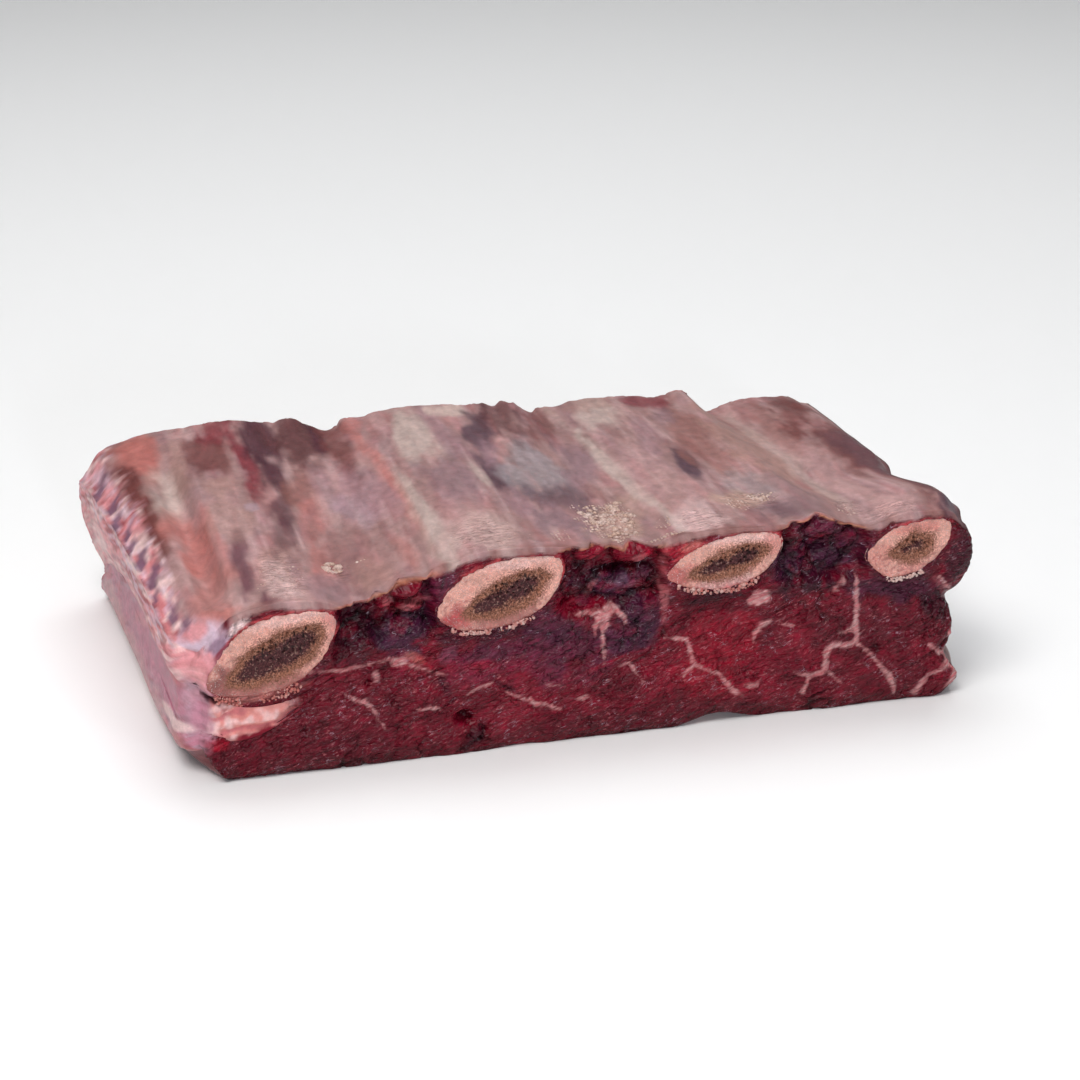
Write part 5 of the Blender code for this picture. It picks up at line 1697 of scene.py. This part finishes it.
def ring_colour(nodes, noise, tint, core_mm, edge_mm, porous):
    """The hard ring of a bone: pale and speckled, brown towards the core."""
    ring = nodes.scaled(tint, nodes.ranged(noise["mottle"], 0.36, 0.64, 0.82, 1.16))
    ring = nodes.scaled(ring, nodes.ranged(noise["fine"], 0.4, 0.6, 0.72, 1.26))
    ring = nodes.mixed(nodes.ranged(noise["mottle"], 0.55, 0.64, 0.0, 0.4), ring, opaque("coral"))
    low_grit = nodes.math("SUBTRACT", noise["grit"], nodes.product(porous, 0.06))
    ring = nodes.mixed(nodes.ranged(low_grit, 0.48, 0.6, 0.0, 0.75), ring, opaque("dust"))
    ring = nodes.mixed(nodes.ranged(noise["fine"], 0.36, 0.45, 0.6, 0.0), ring, opaque("milk"))
    near_core = nodes.ranged(nodes.swung(core_mm, noise["fine"], 14.0), 2.2, 0.4, 0.0, 0.7)
    ring = nodes.mixed(near_core, ring, opaque("marrow"))
    edge_colour = nodes.mixed(porous, opaque("coral"), opaque("ivory"))
    return nodes.mixed(nodes.ranged(edge_mm, 1.2, 0.0, 0.0, 0.6), ring, edge_colour)


def core_colour(nodes, noise, cells, uneven, porous):
    """The spongy core of a bone: brown, dark in the middle, with open cells and slots."""
    core = nodes.mixed(nodes.ranged(uneven, -1.2, -5.0), opaque("marrow"), opaque("core"))
    core = nodes.scaled(core, nodes.ranged(noise["fine"], 0.36, 0.64, 0.5, 1.6))
    core = nodes.mixed(nodes.ranged(noise["grit"], 0.54, 0.66, 0.0, 0.35), core, opaque("gold"))
    open_cells = nodes.ranged(nodes.total(cells["Color"], nodes.product(porous, 0.3)), 0.8, 0.95)
    holes = nodes.product(nodes.ranged(cells["Distance"], 0.36, 0.2, 0.0, 0.95), open_cells)
    slots = nodes.product(nodes.ranged(noise["slots"], 0.58, 0.64), nodes.ranged(porous, 0.3, 0.9),
                          nodes.ranged(uneven, -0.5, -2.0, 0.0, 0.85))
    core = nodes.mixed(holes, core, opaque("pit"))
    return nodes.mixed(slots, core, opaque("pit"))


def sawn_bone(name):
    """Sawn bone: a pale speckled ring that fades into a brown core full of pores."""
    nodes = Nodes(name)
    grain = nodes.attribute("grain", "Vector")
    tint = nodes.attribute("tint", "Color")
    core_mm, edge_mm, porous = (nodes.attribute(field) for field in ("core_mm", "edge_mm", "porous"))
    flat = nodes.stretched(grain, BONE_STRETCH)
    noise = nodes.noises(flat, BONE_NOISES)
    cell_places = nodes.stretched(flat, BONE_CELL_SCALE)
    cells = nodes.add("ShaderNodeTexVoronoi", {"Vector": cell_places, "Scale": 1.0}).outputs
    uneven = nodes.swung(core_mm, noise["grit"], 8.0)
    share = nodes.ranged(uneven, 1.4, -0.8)
    colour = nodes.mixed(share, ring_colour(nodes, noise, tint, core_mm, edge_mm, porous),
                         core_colour(nodes, noise, cells, uneven, porous))
    height = nodes.product(nodes.math("MINIMUM", cells["Distance"], 0.4), nodes.total(share, 0.15))
    height = nodes.total(height, nodes.product(noise["fine"], 0.4))
    return nodes.finish(colour, nodes.ranged(share, 0.0, 1.0, 0.45, 0.7), height, 0.5,
                        Specular_IOR_Level=0.25, Subsurface_Weight=0.05, Subsurface_Scale=0.002)


def crumb_look(name, first, second):
    """Crumbs and beads, each of its own shade between two colours."""
    nodes = Nodes(name)
    number = nodes.attribute("number")
    fine = nodes.noise(nodes.attribute("grain", "Vector"), *CRUMB_NOISE)
    colour = nodes.mixed(number, opaque(first), opaque(second))
    colour = nodes.scaled(colour, nodes.ranged(fine, 0.3, 0.7, 0.75, 1.15))
    return nodes.finish(colour, nodes.ranged(fine, 0.3, 0.7, 0.5, 0.65), fine, 0.2, Specular_IOR_Level=0.4)


def light(name, place, size, power, colour):
    """A square soft light that shines at the rack."""
    lamp = bpy.data.lights.new(name, "AREA")
    lamp.size = size
    lamp.energy = power
    lamp.color = colour
    made = bpy.data.objects.new(name, lamp)
    bpy.context.scene.collection.objects.link(made)
    made.location = place
    towards = Vector((-place[0], -place[1], RACK_MIDDLE - place[2]))
    made.rotation_euler = towards.to_track_quat("-Z", "Y").to_euler()


def make_stage():
    """A plain pale floor under soft studio light."""
    mesh = bpy.data.meshes.new("floor")
    corners = [(x * FLOOR_HALF, y * FLOOR_HALF, 0.0) for x, y in ((-1, -1), (1, -1), (1, 1), (-1, 1))]
    mesh.from_pydata(corners, [], [(0, 1, 2, 3)])
    floor = bpy.data.objects.new("floor", mesh)
    bpy.context.scene.collection.objects.link(floor)
    nodes = Nodes("pale floor")
    place = nodes.add("ShaderNodeTexCoord", {}).outputs["Object"]
    fine = nodes.noise(place, *FLOOR_NOISE)
    roughness = nodes.ranged(fine, 0.3, 0.7, 0.6, 0.7)
    mesh.materials.append(nodes.finish((*FLOOR_SHADE, 1.0), roughness, fine, 0.05))
    world = bpy.data.worlds.new("studio")
    world.use_nodes = True
    background = world.node_tree.nodes["Background"]
    background.inputs["Color"].default_value = (*WORLD_COLOUR, 1.0)
    background.inputs["Strength"].default_value = WORLD_STRENGTH
    bpy.context.scene.world = world
    for values in LIGHTS:
        light(*values)


def make_camera():
    """The camera at the picture's angle."""
    data = bpy.data.cameras.new("camera")
    data.lens = CAMERA_LENS
    data.sensor_width = CAMERA_SENSOR
    data.clip_start = CAMERA_NEAR
    camera = bpy.data.objects.new("camera", data)
    bpy.context.scene.collection.objects.link(camera)
    camera.location = CAMERA_PLACE
    camera.rotation_euler = (math.radians(90.0 - CAMERA_PITCH), 0.0, math.radians(CAMERA_YAW))
    bpy.context.scene.camera = camera


def main():
    """Builds the stage and all the pieces."""
    bpy.context.scene.view_settings.view_transform = "Standard"
    make_camera()
    make_stage()
    layer, slab = rib_slab()
    lean_slab()
    fat_wedge()
    for number, (outline, core_outline) in enumerate(zip(BONE_OUTLINES, MARROW_OUTLINES), start=1):
        rib_bone(number, outline, core_outline)
    bone_beads()
    membrane_crumbs(layer, slab)


main()
